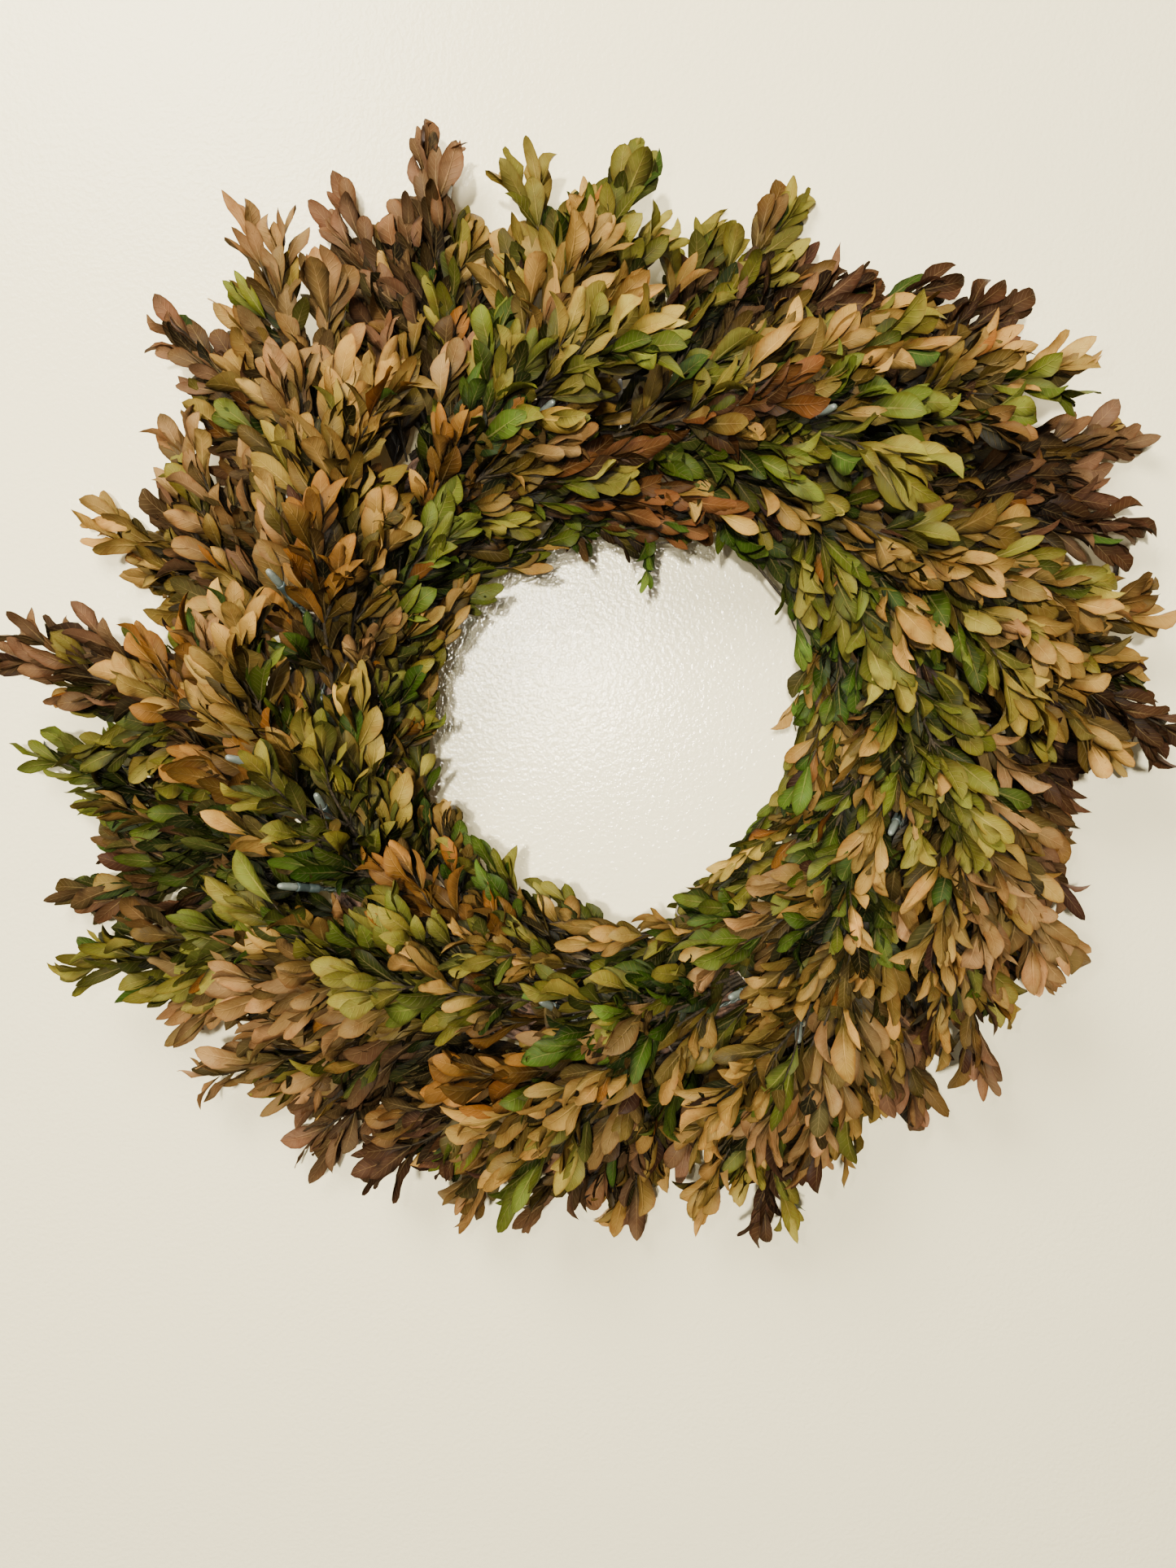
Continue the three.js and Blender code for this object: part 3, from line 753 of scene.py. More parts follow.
sideHabit = {
    "endLeaf": 0.8,  # share of the largest leaf
    "angle": (0.85, 0.4),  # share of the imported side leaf's angle, and how much less at the tip
    "rise": (-0.1, 0.2), "onward": 0.12, "firstLeaf": 0.004,
    "closePlay": 5, "closeLength": (0.85, 1.1), "usualStem": 0.124, "closeSag": -0.25,
    "ages": (0.8, 0.35),  # share of the stem's age, and how much older the tip is
}
# more side twigs, close along the stem: share of the stem, side, degrees, length and rise to the viewer
closeTwigs = [(0.16, 1, 26, 0.030, 0.30), (0.38, -1, 22, 0.028, 0.42), (0.60, 1, 20, 0.024, 0.36)]
# more sprigs between the two packed ones of a bunch: share of the way from one to the other, and reach
fillers = {
    "back": [(-0.5, 0.70), (0.35, 0.82), (0.68, 0.84), (1.5, 0.70)],
    "outer": [(-0.7, 0.66), (0.5, 0.84), (1.6, 0.70)],
    "front": [(0.5, 0.97)],
    "crown": [(0.5, 0.95)],
    "inner": [(0.5, 0.92)],
}
chance = random.Random(habit["seed"])


def eitherWay(most):
    return chance.uniform(-most, most)


def toneOr(row, tone):
    return tone if chance.random() < row["kept"] else chance.choice(row["mixed"])


def frameOn(stem, share, facing):
    along = headingOn(stem, share)
    up = (facing - along * facing.dot(along)).normalized()
    return along, up, up.cross(along)


def planLeaf(bunch, base, axis, facing, length, tone, age):
    normal = (facing - axis * facing.dot(axis)).normalized()
    normal = turned(normal, axis, chance.gauss(0, habit["roll"]))
    axis = turned(axis, axis.cross(normal), chance.gauss(0, habit["pitch"])).normalized()
    normal = (normal - axis * normal.dot(axis)).normalized()
    if chance.random() < habit["flipped"]:
        normal = -normal
    place = Matrix((axis.cross(normal), axis, normal)).transposed().to_4x4()
    width = chance.uniform(*habit["width"])
    place = Matrix.Translation(base) @ place @ Matrix.Diagonal((length * width, length, length, 1))
    middle = base + axis * length * habit["middle"]
    form = chance.choice(leafMeshes)
    bunch["leaves"].append({"place": place, "middle": middle, "form": form, "tone": tone, "age": age})


def pairSize(share):
    foot, turn, less = habit["pairSize"]
    return (foot + (1 - foot) * min(1, 2 * share)) * (1 - less * max(0, share - turn))


def leafyTwig(bunch, stem, facing, look, ages):
    # the ages are those of the first and the last leaf
    first, spacing, sizes, tone, radius = look
    reach = stem["length"]
    quarter, play = habit["pairTurn"]
    count = max(1, round((reach - first) / spacing))
    for number in range(count):
        share = (first + number * spacing) / reach
        along, up, across = frameOn(stem, min(share, 1), facing)
        age = ages[0] + (ages[1] - ages[0]) * number / count
        turn = quarter * (number % 2) + eitherWay(play)
        for side in (1, -1):
            out = turned(across * side, along, turn)
            angle = math.radians(chance.uniform(*habit["leafAngle"]) * (1 - habit["narrowing"] * share))
            axis = along * math.cos(angle) + out * math.sin(angle)
            size = chance.uniform(*sizes) * pairSize(share)
            shown = facing + out * habit["turnedOut"] - along * habit["laidBack"]
            planLeaf(bunch, pointOn(stem, min(share, 1)), axis, shown, size, tone, age)
    along, up, across = frameOn(stem, 1, facing)
    for side in (-1, 0, 1):
        angle = math.radians(side * chance.uniform(*habit["endAngle"]))
        rise = eitherWay(habit["endRise"])
        axis = (along * math.cos(angle) + across * math.sin(angle) + up * rise).normalized()
        size = chance.uniform(*sizes) * habit["endSize"][abs(side)]
        shown = facing + across * side * habit["endTurn"]
        planLeaf(bunch, stem["tip"], axis, shown, size, tone, ages[1])
    steps = max(3, round(reach / habit["stemStep"]))
    rod = []
    for i in range(steps + 1):
        thinner = 1 - habit["taper"] * i / steps
        rod.append((pointOn(stem, i / steps), radius * thinner * (1 + habit["joints"] * (i % 2))))
    bunch["rods"].append(rod)


def twigLook(bunch, first, tone):
    return first, habit["sideSpacing"], bunch["row"]["size"], tone, habit["twigRadius"]


def sideTwig(bunch, twig, facing, tone, share):
    look = twigLook(bunch, sideHabit["firstLeaf"], toneOr(bunch["row"], tone))
    least, more = sideHabit["ages"]
    leafyTwig(bunch, twig, facing, look, (share * least, min(1, share + more)))


def leafySprig(bunch, sprig, stem, tone):
    row = bunch["row"]
    facing = turned(sprig["facing"], sprig["direction"], sprig["roll"])
    look = habit["firstLeaf"], habit["pairSpacing"], row["size"], tone, habit["stemRadius"]
    endLeaf = sideHabit["endLeaf"] * row["size"][1]
    main = {"start": stem["start"], "length": stem["length"] - endLeaf}
    share = main["length"] / stem["length"]
    main["bend"] = stem["start"] + (stem["bend"] - stem["start"]) * share
    main["tip"] = pointOn(stem, share)
    leafyTwig(bunch, main, facing, look, (0.0, 1.0))
    room = stem["length"] - row["leaf"] - sprigRule["firstPair"]
    pairs = min(max(round(room / sprigRule["pairSpacing"]), 1), sprigRule["mostPairs"])
    length = row["leaf"] - endLeaf
    wide, less = sideHabit["angle"]
    for side in (1, -1):
        for number in range(pairs):
            if number == 0 and side != sprig["side"]:
                continue
            share = (sprigRule["firstPair"] + number * room / pairs) / stem["length"]
            along, up, across = frameOn(stem, share, facing)
            angle = sprigRule["leafAngle"] + side * (sprig["spread"] if number % 2 else -sprig["spread"])
            angle = math.radians(angle * (wide - less * share))
            out = along * math.cos(angle) + across * side * math.sin(angle)
            rise = up * chance.uniform(*sideHabit["rise"]) * length
            sag = along * length * sideHabit["onward"] + rise
            sideTwig(bunch, arched(pointOn(stem, share), out, length, sag), facing, tone, share)
    for share, side, degrees, length, rise in closeTwigs:
        along, up, across = frameOn(stem, share, facing)
        angle = math.radians(degrees + eitherWay(sideHabit["closePlay"]))
        out = along * math.cos(angle) + across * side * sprig["side"] * math.sin(angle) + up * rise
        length *= stem["length"] / sideHabit["usualStem"] * chance.uniform(*sideHabit["closeLength"])
        twig = arched(pointOn(stem, share), out.normalized(), length, up * sideHabit["closeSag"] * length)
        sideTwig(bunch, twig, facing, tone, share)


# The stem ends of a bunch, gathered under the binding wire

knotSettings = {
    "round": 6,  # ends round the one in the middle
    "behind": (0.45, 0.75), "ahead": 0.5,  # shares of the knot's length
    "spread": 0.0019, "splay": (1.1, 1.3), "radius": (0.0009, 0.0012), "taper": 0.9,
}


def stemEnds(row, phi):
    knot = knotSettings
    middle = tubePoint(phi, row["theta"], sprigRule["knotHeight"])
    normal = tubeNormal(phi, row["theta"])
    along = clockwise(phi)
    across = normal.cross(along)
    ends = []
    for number in range(knot["round"] + 1):
        turn = 2 * math.pi * number / knot["round"]
        spread = 0.0 if number == knot["round"] else knot["spread"]
        offset = (normal * math.cos(turn) + across * math.sin(turn)) * spread
        back = sprigRule["knotLength"] * chance.uniform(*knot["behind"])
        radius = chance.uniform(*knot["radius"])
        tail = middle + offset * knot["splay"][0] - along * back
        head = middle + offset * knot["splay"][1] + along * sprigRule["knotLength"] * knot["ahead"]
        ends.append([(tail, radius), (middle + offset, radius), (head, radius * knot["taper"])])
    return ends


# Low twigs that cover the ring at the stem ends of a bunch, and single loose sprigs

# degrees back along the ring and round the tube, lean, rise and length
lowTwigs = {
    "back": [(15, 8, 52, 6, 0.052), (9, -6, 38, 0, 0.056), (3, 4, 60, 4, 0.048), (-5, -4, 44, 2, 0.050)],
    "outer": [(9, 20, 48, 10, 0.048), (1, 14, 34, 6, 0.050)],
    "front": [(7, 58, 30, 14, 0.044), (-7, 76, 4, 12, 0.040)],
    "crown": [(7, 100, 12, 14, 0.042), (-6, 88, -12, 12, 0.040)],
}
lowHabit = {
    "firstLeaf": 0.006, "shift": 2, "leanPlay": 6, "length": (0.9, 1.1), "outwards": 0.4,
    "ages": (0.1, 0.7),
}
# places round the ring and round the tube, height over the twigs, lean, rise, length, leaf size and tone
looseSprigs = {
    ("inner", 2): [
        (26, 165, 0, -46, 8, 0.086, (0.014, 0.021), "olive"),
        (6, 172, 0, -50, 5, 0.086, (0.014, 0.021), "moss"),
    ],
    ("inner", 3): [
        (-12, 165, 0, -50, 8, 0.086, (0.014, 0.021), "straw"),
        (-26, 170, 0, -46, 5, 0.078, (0.014, 0.021), "olive"),
    ],
    ("inner", 1): [(84, 150, 0, -84, 10, 0.045, (0.012, 0.016), "fern")],
    ("crown", 9): [
        (124, 122, 0.018, -10, 20, 0.078, (0.023, 0.031), "rust"),
        (116, 140, 0.016, -17, 15, 0.072, (0.022, 0.030), "rust"),
        (108, 146, 0.016, -22, 14, 0.062, (0.020, 0.028), "rust"),
        (104, 158, 0.010, -27, 9, 0.050, (0.018, 0.025), "rust"),
        (92, 132, 0.018, -16, 16, 0.054, (0.019, 0.027), "rust"),
    ],
}
looseHabit = {
    "firstLeaf": 0.010,
    "spacing": 0.45,  # share of the smallest leaf
    "sag": (0, 0.1, -0.1),  # shares of the length
    "inwards": 0.3,
    "ages": (0.1, 0.9),
}


def lowTwig(bunch, back, theta, lean, lift, length):
    phi = bunch["phi"] + back + eitherWay(lowHabit["shift"])
    length *= chance.uniform(*lowHabit["length"])
    lean += eitherWay(lowHabit["leanPlay"])
    stem = arched(tubePoint(phi, theta, 0), heading(phi, lean, lift), length, Vector())
    look = twigLook(bunch, lowHabit["firstLeaf"], chance.choice([*bunch["tones"], *bunch["row"]["mixed"]]))
    facing = towardsViewer * sprigRule["facing"][0] + outwards(phi) * lowHabit["outwards"]
    leafyTwig(bunch, stem, facing, look, lowHabit["ages"])


def looseSprig(bunch, phi, theta, height, lean, lift, length, size, tone):
    sag = Vector([share * length for share in looseHabit["sag"]])
    stem = arched(tubePoint(phi, theta, height), heading(phi, lean, lift), length, sag)
    look = looseHabit["firstLeaf"], looseHabit["spacing"] * size[0], size, tone, habit["twigRadius"]
    leafyTwig(bunch, stem, towardsViewer - outwards(phi) * looseHabit["inwards"], look, looseHabit["ages"])


# What is moved or left off

# how far a tip in the outline moves right and up, to where the photographed sprig ends
moved = {
    ("outer", 9, -1): (-0.016, -0.015), ("back", 9, -1): (-0.024, -0.004), ("back", 1, -1): (0.004, -0.018),
    ("outer", 1, -1): (-0.014, -0.012), ("back", 2, 1): (0.018, -0.004), ("back", 2, -1): (0, 0.022),
    ("outer", 2, -1): (0, -0.018), ("outer", 3, -1): (-0.030, -0.004), ("outer", 4, 1): (-0.014, 0.004),
    ("back", 4, 1): (0.008, -0.018), ("outer", 7, -1): (0, -0.024), ("outer", 7, 1): (-0.008, -0.018),
    ("back", 9, 1): (-0.014, 0.006),
}
# how far from the middle of the ring the hole reaches, every 10 degrees
holeEdge = [
    0.081, 0.083, 0.095, 0.095, 0.104, 0.109, 0.103, 0.095, 0.090, 0.088, 0.090, 0.092,
    0.084, 0.090, 0.096, 0.092, 0.094, 0.086, 0.090, 0.088, 0.086, 0.094, 0.087, 0.083,
    0.086, 0.082, 0.082, 0.086, 0.092, 0.092, 0.087, 0.080, 0.077, 0.071, 0.075, 0.076,
]
limits = {
    "bendMoved": 0.35,  # share of a tip's move that its stem's bend takes
    "footInHole": -0.005,
    "tipInHole": (0.001, 0.0025),  # mean and scatter
    "stemInHole": -0.003,
    "lampShares": (0.3, 0.6, 0.9),  # places along a leaf that are kept clear of the lamps
    "lampRadius": 0.0075, "lampDepth": 0.006,
    "furtherOut": 0.006,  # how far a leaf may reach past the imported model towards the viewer
    "wallGap": 0.0015, "pressed": 0.12,
}
bulbs = [sum(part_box(f"lamp_bulb_{number:02}"), Vector()) / 2 for number in range(1, 11)]


def placeOn(leaf, share):
    return leaf["place"] @ Vector((0, share, 0))


def hidesLamp(leaf):
    for place in (placeOn(leaf, share) for share in limits["lampShares"]):
        for bulb in bulbs:
            isInFront = place.y < bulb.y + limits["lampDepth"]
            if isInFront and math.hypot(place.x - bulb.x, place.z - bulb.z) < limits["lampRadius"]:
                return True
    return False


def intoHole(place):
    # how far a place lies over the edge of the hole
    flat = place - ringCentre
    count = len(holeEdge)
    turn = math.degrees(math.atan2(flat.z, flat.x)) % 360 / (360 / count)
    first = int(turn)
    edge = holeEdge[first] + (holeEdge[(first + 1) % count] - holeEdge[first]) * (turn - first)
    return edge - math.hypot(flat.x, flat.z)


def isKeptAtHole(leaf):
    if intoHole(placeOn(leaf, 0)) >= limits["footInHole"]:
        return False
    return intoHole(placeOn(leaf, 1)) < chance.gauss(*limits["tipInHole"])


def isOutFront(leaf):
    return placeOn(leaf, 1).y < cadBox[0][1] - limits["furtherOut"]


def pressOffWall(bm):
    # no leaf goes through the wall behind the wreath
    gap = limits["wallGap"]
    for vert in bm.verts:
        if vert.co.y > gap:
            vert.co.y = gap - limits["pressed"] * (vert.co.y - gap)


def growBunch(row, index, draws):
    name, phi = row["name"], turnAngle(2 * index + row["turn"], row["theta"])
    bunch = {
        "row": row, "number": index + 1, "phi": phi, "tones": row["tones"][index], "leaves": [],
        "rods": stemEnds(row, phi), "miss": 0.0,
    }
    corners = cornersOf(f"{name}_bunch_{index + 1}")
    stems = []
    for side in (1, -1):
        sprig = plannedSprig(bunch, side, draws)
        stem, miss = bentAsPacked(sprig, corners)
        bunch["miss"] = max(bunch["miss"], miss)
        right, up = moved.get((name, index + 1, side), (0, 0))
        stem["bend"] += Vector((right, 0, up)) * limits["bendMoved"]
        stem["tip"] += Vector((right, 0, up))
        stem["length"] = (stem["tip"] - stem["start"]).length
        stems.append(stem)
        leafySprig(bunch, sprig, stem, bunch["tones"][side < 0])
    for share, reach in fillers[name]:
        tone = toneOr(row, bunch["tones"][share > 0.5])
        leafySprig(bunch, sprig, between(*stems, share, reach), tone)
    for rule in lowTwigs.get(name, []):
        lowTwig(bunch, *rule)
    bunch["leaves"] = [leaf for leaf in bunch["leaves"] if isKeptAtHole(leaf)]
    rods = [[point for point in rod if intoHole(point[0]) < limits["stemInHole"]] for rod in bunch["rods"]]
    bunch["rods"] = [rod for rod in rods if len(rod) > 1]
    for rule in looseSprigs.get((name, index + 1), []):
        looseSprig(bunch, *rule)
    bunch["leaves"] = [leaf for leaf in bunch["leaves"] if not hidesLamp(leaf) and not isOutFront(leaf)]
    return bunch


# Colouring the leaves: those under others stay green and are darkened with painted shade, and those out in
# the light turn first

fadingAndPaintedShade = {
    "reach": 0.018,  # how far off a leaf still covers another
    "cover": 1.25,
    "sideways": 0.6,  # how far the open side turns from the viewer to the outside of the tube
    "level": 0.2,  # a leaf covers another only from this rise on
    "byPlace": 0.5,  # share of a leaf's age that comes from its place on the sprig
    "darkestPaintedShade": 0.05,  # painted shade: brightness of what is covered all over
    "scatter": 0.19,
    "ends": (0.15, 0.8),  # shares of the leaf between which its painted shade runs
    "turnedAway": -0.25,
}


def openness(place, own, middles, side):
    # 1 for a place that no leaf but its own lies over, towards 0 deep in the foliage; side is 1 for what
    # lies in front of the place and -1 for what lies behind it
    flat = Vector((place.x - ringCentre.x, 0, place.z - ringCentre.z))
    away = flat.normalized() * (flat.length - ring["radius"]) + Vector((0, place.y - ringCentre.y, 0))
    outward = (towardsViewer * side + away.normalized() * fadingAndPaintedShade["sideways"]).normalized()
    cover = 0
    for other, number, distance in middles.find_range(place, fadingAndPaintedShade["reach"]):
        if number != own:
            rise = (other - place).dot(outward) / max(distance, 0.001)
            cover += max(0, rise - fadingAndPaintedShade["level"]) * (1 - distance / fadingAndPaintedShade["reach"])
    return math.exp(-fadingAndPaintedShade["cover"] * cover)


def leafColour(tone, age, out):
    share = fadingAndPaintedShade["byPlace"]
    age = min(max(age * share + out * (1 - share) + chance.gauss(0, fadingAndPaintedShade["scatter"]), 0), 1)
    red, green, blue = toneAt(tone, age)
    if chance.random() < leafShade["strays"]:
        red, green, blue = chance.choice(strays)
    bright = chance.uniform(*leafShade["bright"])
    warm = chance.uniform(*leafShade["warm"])
    return red * bright * warm, green * bright, blue * bright / warm


def addLeaf(bm, planned, own, middles):
    foot, end = fadingAndPaintedShade["ends"]
    places = [placeOn(planned, share) for share in (foot, end)]
    front, back = ([openness(place, own, middles, side) for place in places] for side in (1, -1))
    shade = leafColour(planned["tone"], planned["age"], front[1])
    leaf = planned["form"].copy()
    turn = planned["place"].to_3x3().inverted().transposed()
    colours = []
    # painted shade: each vertex is darkened by how much other leaves cover it, in front, or behind where
    # the face turns away, running from the leaf's foot to its end
    for vert in leaf.vertices:
        isBehind = (turn @ vert.normal).normalized().dot(towardsViewer) < fadingAndPaintedShade["turnedAway"]
        low, high = back if isBehind else front
        out = low + (high - low) * min(max((vert.co.y - foot) / (end - foot), 0), 1)
        lit = fadingAndPaintedShade["darkestPaintedShade"] + (1 - fadingAndPaintedShade["darkestPaintedShade"]) * out
        colours += [value * lit for value in shade] + [1]
    leaf.transform(planned["place"])
    leaf.attributes["leafColour"].data.foreach_set("color", colours)
    bm.from_mesh(leaf)
    bpy.data.meshes.remove(leaf)


def makeBunches():
    draws = seededDraws(sprigRule["seed"])
    grown = [growBunch(row, index, draws) for row in rows for index in range(sprigRule["turns"] // 2)]
    planned = [leaf for bunch in grown for leaf in bunch["leaves"]]
    middles = KDTree(len(planned))
    for own, leaf in enumerate(planned):
        leaf["own"] = own
        middles.insert(leaf["middle"], own)
    middles.balance()
    materials = {row["name"]: leafMaterial(f"{row['name']}Leaves") for row in rows}
    for bunch in grown:
        row, number = bunch["row"]["name"], bunch["number"]
        bm = bmesh.new()
        for leaf in bunch["leaves"]:
            addLeaf(bm, leaf, leaf["own"], middles)
        addRods(bm, bunch["rods"], materialIndex=1)
        pressOffWall(bm)
        looks = [materials[row], stemMaterial]
        addPiece(bm, f"{row}Bunch{number}", looks, f"{row}_bunch_{number}")
    worst = 1000 * max(bunch["miss"] for bunch in grown)
    print(f"bunches grown: {len(planned)} leaves, stems within {worst:.3f} mm of the packed ones")


makeBunches()


# Binding wire, wound over the stem ends, with its loose end at the lower edge of the hole

wireSettings = {
    "radius": 0.0006, "overKnot": 0.0085, "onTwigs": 0.0015, "droppedCorners": 3, "smooth": 4,
    "tailTurn": 7,
    # right of and below the middle of the ring
    "tail": [(0.037, 0.097), (0.029, 0.096), (0.031, 0.089), (0.034, 0.087)],
}


def softened(points, rounds=2):
    # cuts the corners of a route and keeps its two ends
    for _ in range(rounds):
        cut = [points[0]]
        for a, b in zip(points, points[1:]):
            cut += [a.lerp(b, 0.25), a.lerp(b, 0.75)]
        points = cut + [points[-1]]
    return points


def wireCorners():
    step = 360 / ring["bundles"]
    corners = []
    for turn in range(sprigRule["turns"]):
        for ridge in range(ring["bundles"]):
            theta = rows[0]["theta"] + ridge * step
            isCaught = ridge < len(rows) and rows[ridge]["turn"] == turn % 2
            height = wireSettings["overKnot"] if isCaught else wireSettings["onTwigs"]
            corners.append((turnAngle(turn, theta), theta, height))
    return corners[:-wireSettings["droppedCorners"]]


def makeBindingWire():
    corners = wireCorners()
    step = 360 / ring["bundles"]
    radius, smooth = wireSettings["radius"], wireSettings["smooth"]
    route = []
    for (phi, theta, height), (nextPhi, _, nextHeight) in zip(corners, corners[1:]):
        for share in (i / smooth for i in range(smooth)):
            ease = share * share * (3 - 2 * share)
            lifted = height + (nextHeight - height) * ease
            route.append(tubePoint(phi + (nextPhi - phi) * share, theta + step * share, lifted))
    leaves = tubePoint(*corners[wireSettings["tailTurn"] * ring["bundles"] + len(rows) - 1])
    tail = [Vector((right, leaves.y, ringCentre.z - below)) for right, below in wireSettings["tail"]]
    bm = bmesh.new()
    addRods(bm, [[(point, radius) for point in line] for line in (route, softened([leaves, *tail]))])
    addPiece(bm, "bindingWire", [bindingMaterial], "binding_wire")


# Hanger: a loop round the top of the ring, its ends wrapped together under a small eye

hangerSettings = {
    "radius": 0.0011, "at": 90, "place": -45, "gap": 20, "play": 0.002, "steps": 40,
    "eye": 0.006, "eyeSteps": 28,
    "wraps": 4, "wrapSteps": 10, "wrapStart": 0.0012, "wrapRise": 0.0016, "wrapRadius": 0.0021,
    "wrapThinner": 0.75,
}


def makeHanger():
    rule, radius, eye = hangerSettings, hangerSettings["radius"], hangerSettings["eye"]
    sweep = 360 - rule["gap"]
    loop = []
    for i in range(rule["steps"] + 1):
        theta = rule["place"] + rule["gap"] / 2 + sweep * i / rule["steps"]
        loop.append(tubePoint(rule["at"], theta, rule["play"]))
    foot = Vector((0, 0, -2 * eye - radius))
    ends = [[(loop[end], radius), (foot, radius)] for end in (0, -1)]
    eyeRing = []
    for i in range(rule["eyeSteps"]):
        turn = 2 * math.pi * i / rule["eyeSteps"]
        way = Vector((math.sin(turn), 0, -math.cos(turn)))
        eyeRing.append((Vector((0, 0, -eye)) + way * (eye + radius), radius))
    neck = ((loop[0] + loop[-1]) / 2 - foot).normalized()
    side = Vector((1, 0, 0))
    other = neck.cross(side).normalized()
    wrap = []
    for i in range(rule["wraps"] * rule["wrapSteps"] + 1):
        turn = 2 * math.pi * i / rule["wrapSteps"]
        way = side * math.cos(turn) + other * math.sin(turn)
        along = foot + neck * (rule["wrapStart"] + rule["wrapRise"] * i / rule["wrapSteps"])
        wrap.append((along + way * rule["wrapRadius"], radius * rule["wrapThinner"]))
    bm = bmesh.new()
    addRods(bm, [[(point, radius) for point in loop], *ends, wrap], sides=8)
    addRods(bm, [eyeRing], sides=8, cyclic=True)
    addPiece(bm, "hangerWire", [hangerMaterial], "hanger_wire")


makeBindingWire()
makeHanger()
print("binding wire and hanger made")


# Light string: a twisted cord along the front of the ring, with a socket and a frosted bulb on each lead

lampSettings = {
    "start": 238, "sweep": 344, "steps": 96,
    "height": -0.0011,  # middle of the cord over the twigs
    "strand": 0.00065,
    "apart": 0.9,  # middle of a strand from the middle of the cord, in strand radii
    "twist": 0.0085,  # length of one turn of the two strands
    "pointsPerTwist": 6, "intoSocket": 0.001, "gap": 0.0003, "sides": 14,
    "socketLength": 0.015, "socketRadius": 0.0021, "bulbLength": 0.010, "bulbRadius": 0.0019,
}
# degrees round the ring, lean, lift, and length of lead and socket together
lamps = [
    (163, 50, 45, 0.044), (203, -10, 48, 0.036), (213, 42, 45, 0.044), (190, 58, 43, 0.046),
    (264, -34, 46, 0.034), (303, -30, 48, 0.034), (308, 40, 46, 0.036), (112, 8, 50, 0.034),
    (350, -32, 48, 0.034), (66, 44, 44, 0.044),
]
# radius and place along the socket or bulb, each as a share
socketProfile = [
    (0.0, 0.0), (0.50, 0.0), (0.56, 0.06), (0.62, 0.10), (0.95, 0.16), (1.0, 0.20), (1.0, 0.52),
    (0.92, 0.54), (0.92, 0.58), (1.0, 0.60), (1.0, 0.90), (1.06, 0.92), (1.06, 0.985), (0.98, 1.0),
    (0.0, 1.0),
]
bulbProfile = [
    (0.0, 0.0), (0.94, 0.0), (1.0, 0.03), (1.0, 0.30), (0.96, 0.55), (0.88, 0.76), (0.74, 0.90),
    (0.50, 0.975), (0.24, 0.998), (0.0, 1.0),
]


def cordPoint(phi):
    return tubePoint(phi, 90, lampSettings["height"])


def twistedPair(route):
    # two strands round a route
    twist, radius = lampSettings["twist"], lampSettings["strand"]
    lengths = [0.0]
    for a, b in zip(route, route[1:]):
        lengths.append(lengths[-1] + (b - a).length)
    count = max(4, round(lengths[-1] / twist * lampSettings["pointsPerTwist"]))
    strands = [[], []]
    leg = 0
    for i in range(count + 1):
        at = lengths[-1] * i / count
        while leg < len(route) - 2 and at > lengths[leg + 1]:
            leg += 1
        way = (route[leg + 1] - route[leg]).normalized()
        middle = route[leg] + way * (at - lengths[leg])
        side = way.cross(towardsViewer).normalized()
        up = side.cross(way)
        turn = 2 * math.pi * at / twist
        offset = (side * math.cos(turn) + up * math.sin(turn)) * radius * lampSettings["apart"]
        strands[0].append((middle + offset, radius))
        strands[1].append((middle - offset, radius))
    return strands


def addTurned(bm, profile, start, direction, kind, materialIndex=0):
    radius, length = lampSettings[f"{kind}Radius"], lampSettings[f"{kind}Length"]
    part = bmesh.new()
    verts = [part.verts.new((share * radius, 0, along * length)) for share, along in profile]
    edges = [part.edges.new(pair) for pair in zip(verts, verts[1:])]
    bmesh.ops.spin(
        part,
        geom=verts + edges,
        cent=(0, 0, 0),
        axis=(0, 0, 1),
        angle=2 * math.pi,
        steps=lampSettings["sides"],
        use_merge=True,
    )
    bmesh.ops.remove_doubles(part, verts=part.verts[:], dist=1e-7)
    bmesh.ops.recalc_face_normals(part, faces=part.faces[:])
    for face in part.faces:
        face.smooth = True
        face.material_index = materialIndex
    turn = Vector((0, 0, 1)).rotation_difference(direction).to_matrix().to_4x4()
    part.transform(Matrix.Translation(start) @ turn)
    mesh = meshOf(part, "turned")
    bm.from_mesh(mesh)
    bpy.data.meshes.remove(mesh)


def makeLightString():
    rule, steps = lampSettings, lampSettings["steps"]
    leads = [(cordPoint(phi), heading(phi, lean, lift), stalk) for phi, lean, lift, stalk in lamps]
    strands = twistedPair([cordPoint(rule["start"] - rule["sweep"] * i / steps) for i in range(steps + 1)])
    for foot, way, stalk in leads:
        strands += twistedPair([foot, foot + way * (stalk - rule["socketLength"] + rule["intoSocket"])])
    bm = bmesh.new()
    addRods(bm, strands)
    for foot, way, stalk in leads:
        addTurned(bm, socketProfile, foot + way * (stalk - rule["socketLength"]), way, "socket", 1)
    addPiece(bm, "lightString", [cordMaterial, socketMaterial], "light_string")
    for number, (foot, way, stalk) in enumerate(leads, 1):
        bulb = bmesh.new()
        addTurned(bulb, bulbProfile, foot + way * (stalk + rule["gap"]), way, "bulb")
        addPiece(bulb, f"lampBulb{number}", [bulbMaterial], f"lamp_bulb_{number:02d}")


makeLightString()
print("light string made")


# Wall, light and air

wallSettings = {
    "y": 0.0025,
    "size": 6.0,
    "paint": (0.92, 0.82, 0.51, 1),
    "roughness": 0.12,
    "shine": 0.15,
    "peel": (380.0, 3.0),  # scale and detail
    "bump": (0.7, 0.0006),
}


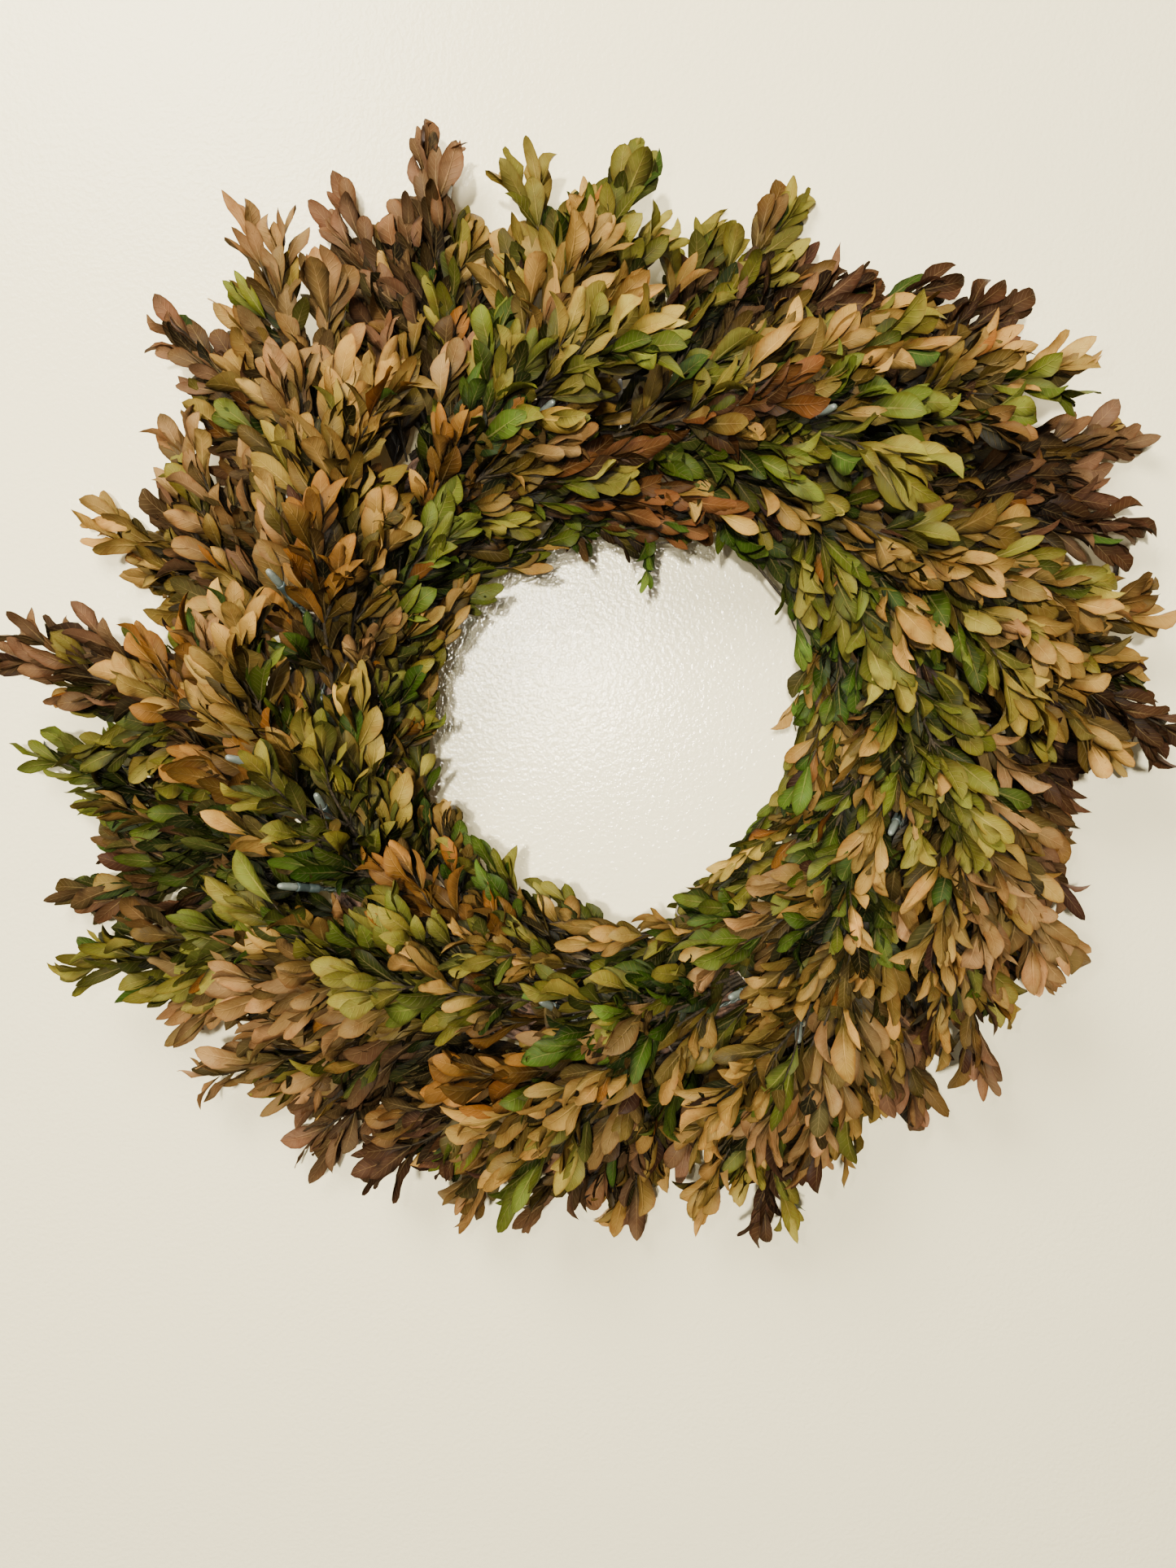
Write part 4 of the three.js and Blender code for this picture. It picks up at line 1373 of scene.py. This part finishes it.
def wallMaterial():
    material, tree, shader = newMaterial("wallPaint")
    peel = noiseNode(tree, *wallSettings["peel"])
    paint, roughness, shine = (wallSettings[key] for key in ("paint", "roughness", "shine"))
    setSurface(tree, shader, paint, roughness, shine, peel, wallSettings["bump"])
    # seen from behind, the wall is clear
    behind = addNode(tree, "ShaderNodeNewGeometry")
    clear = addNode(tree, "ShaderNodeBsdfTransparent")
    either = addNode(tree, "ShaderNodeMixShader")
    sources = behind.outputs["Backfacing"], shader.outputs[0], clear.outputs[0]
    for source, socket in zip(sources, either.inputs):
        tree.links.new(source, socket)
    tree.links.new(either.outputs[0], tree.nodes["Material Output"].inputs["Surface"])
    return material


def makeWall():
    bm = bmesh.new()
    bmesh.ops.create_grid(bm, x_segments=1, y_segments=1, size=wallSettings["size"] / 2)
    upright = Matrix.Rotation(math.radians(90), 3, "X")
    bmesh.ops.rotate(bm, verts=bm.verts[:], cent=(0, 0, 0), matrix=upright)
    bmesh.ops.translate(bm, verts=bm.verts[:], vec=(0, wallSettings["y"], 0))
    wall = addObject("wall", meshOf(bm, "wall", [wallMaterial()]))
    wall.visible_shadow = False  # lets the light behind it reach the back of the wreath


# place, size, power, tint, and where the light doesn't show: the flash gives no gloss, the glint only gloss
lightSettings = {
    "key": ((-0.42, -3.0, 0.14), 0.16, 172.0, (1, 0.98, 0.93), None),
    "flash": ((-0.085, -0.63, -0.130), 0.02, 1.3, (1, 0.97, 0.91), "gloss"),
    "glint": ((-0.018, -0.64, -0.160), 0.03, 13.0, (1, 0.87, 0.66), "diffuse"),
    "soft": ((-0.55, -1.0, 0.75), 0.6, 44.0, (1, 0.97, 0.90), None),
    "behind": ((0.4, 1.8, 0.9), 1.6, 130.0, (1, 0.98, 0.96), None),
}
airSettings = {"tint": (1, 0.98, 0.95, 1), "strength": 0.14}


def makeLights():
    for name, (place, size, power, tint, hidden) in lightSettings.items():
        data = bpy.data.lights.new(name, "AREA")
        data.size = size
        data.energy = power
        data.color = tint
        light = addObject(name, data)
        light.location = place
        way = Vector((0, 0, ringCentre.z)) - Vector(place)
        light.rotation_euler = way.to_track_quat("-Z", "Y").to_euler()
        light.visible_diffuse = hidden != "diffuse"
        light.visible_glossy = hidden != "gloss"
    world = bpy.data.worlds.new("air")
    world.use_nodes = True
    background = world.node_tree.nodes["Background"]
    background.inputs["Color"].default_value = airSettings["tint"]
    background.inputs["Strength"].default_value = airSettings["strength"]
    bpy.context.scene.world = world


makeWall()
makeLights()
print("wall and lights placed")
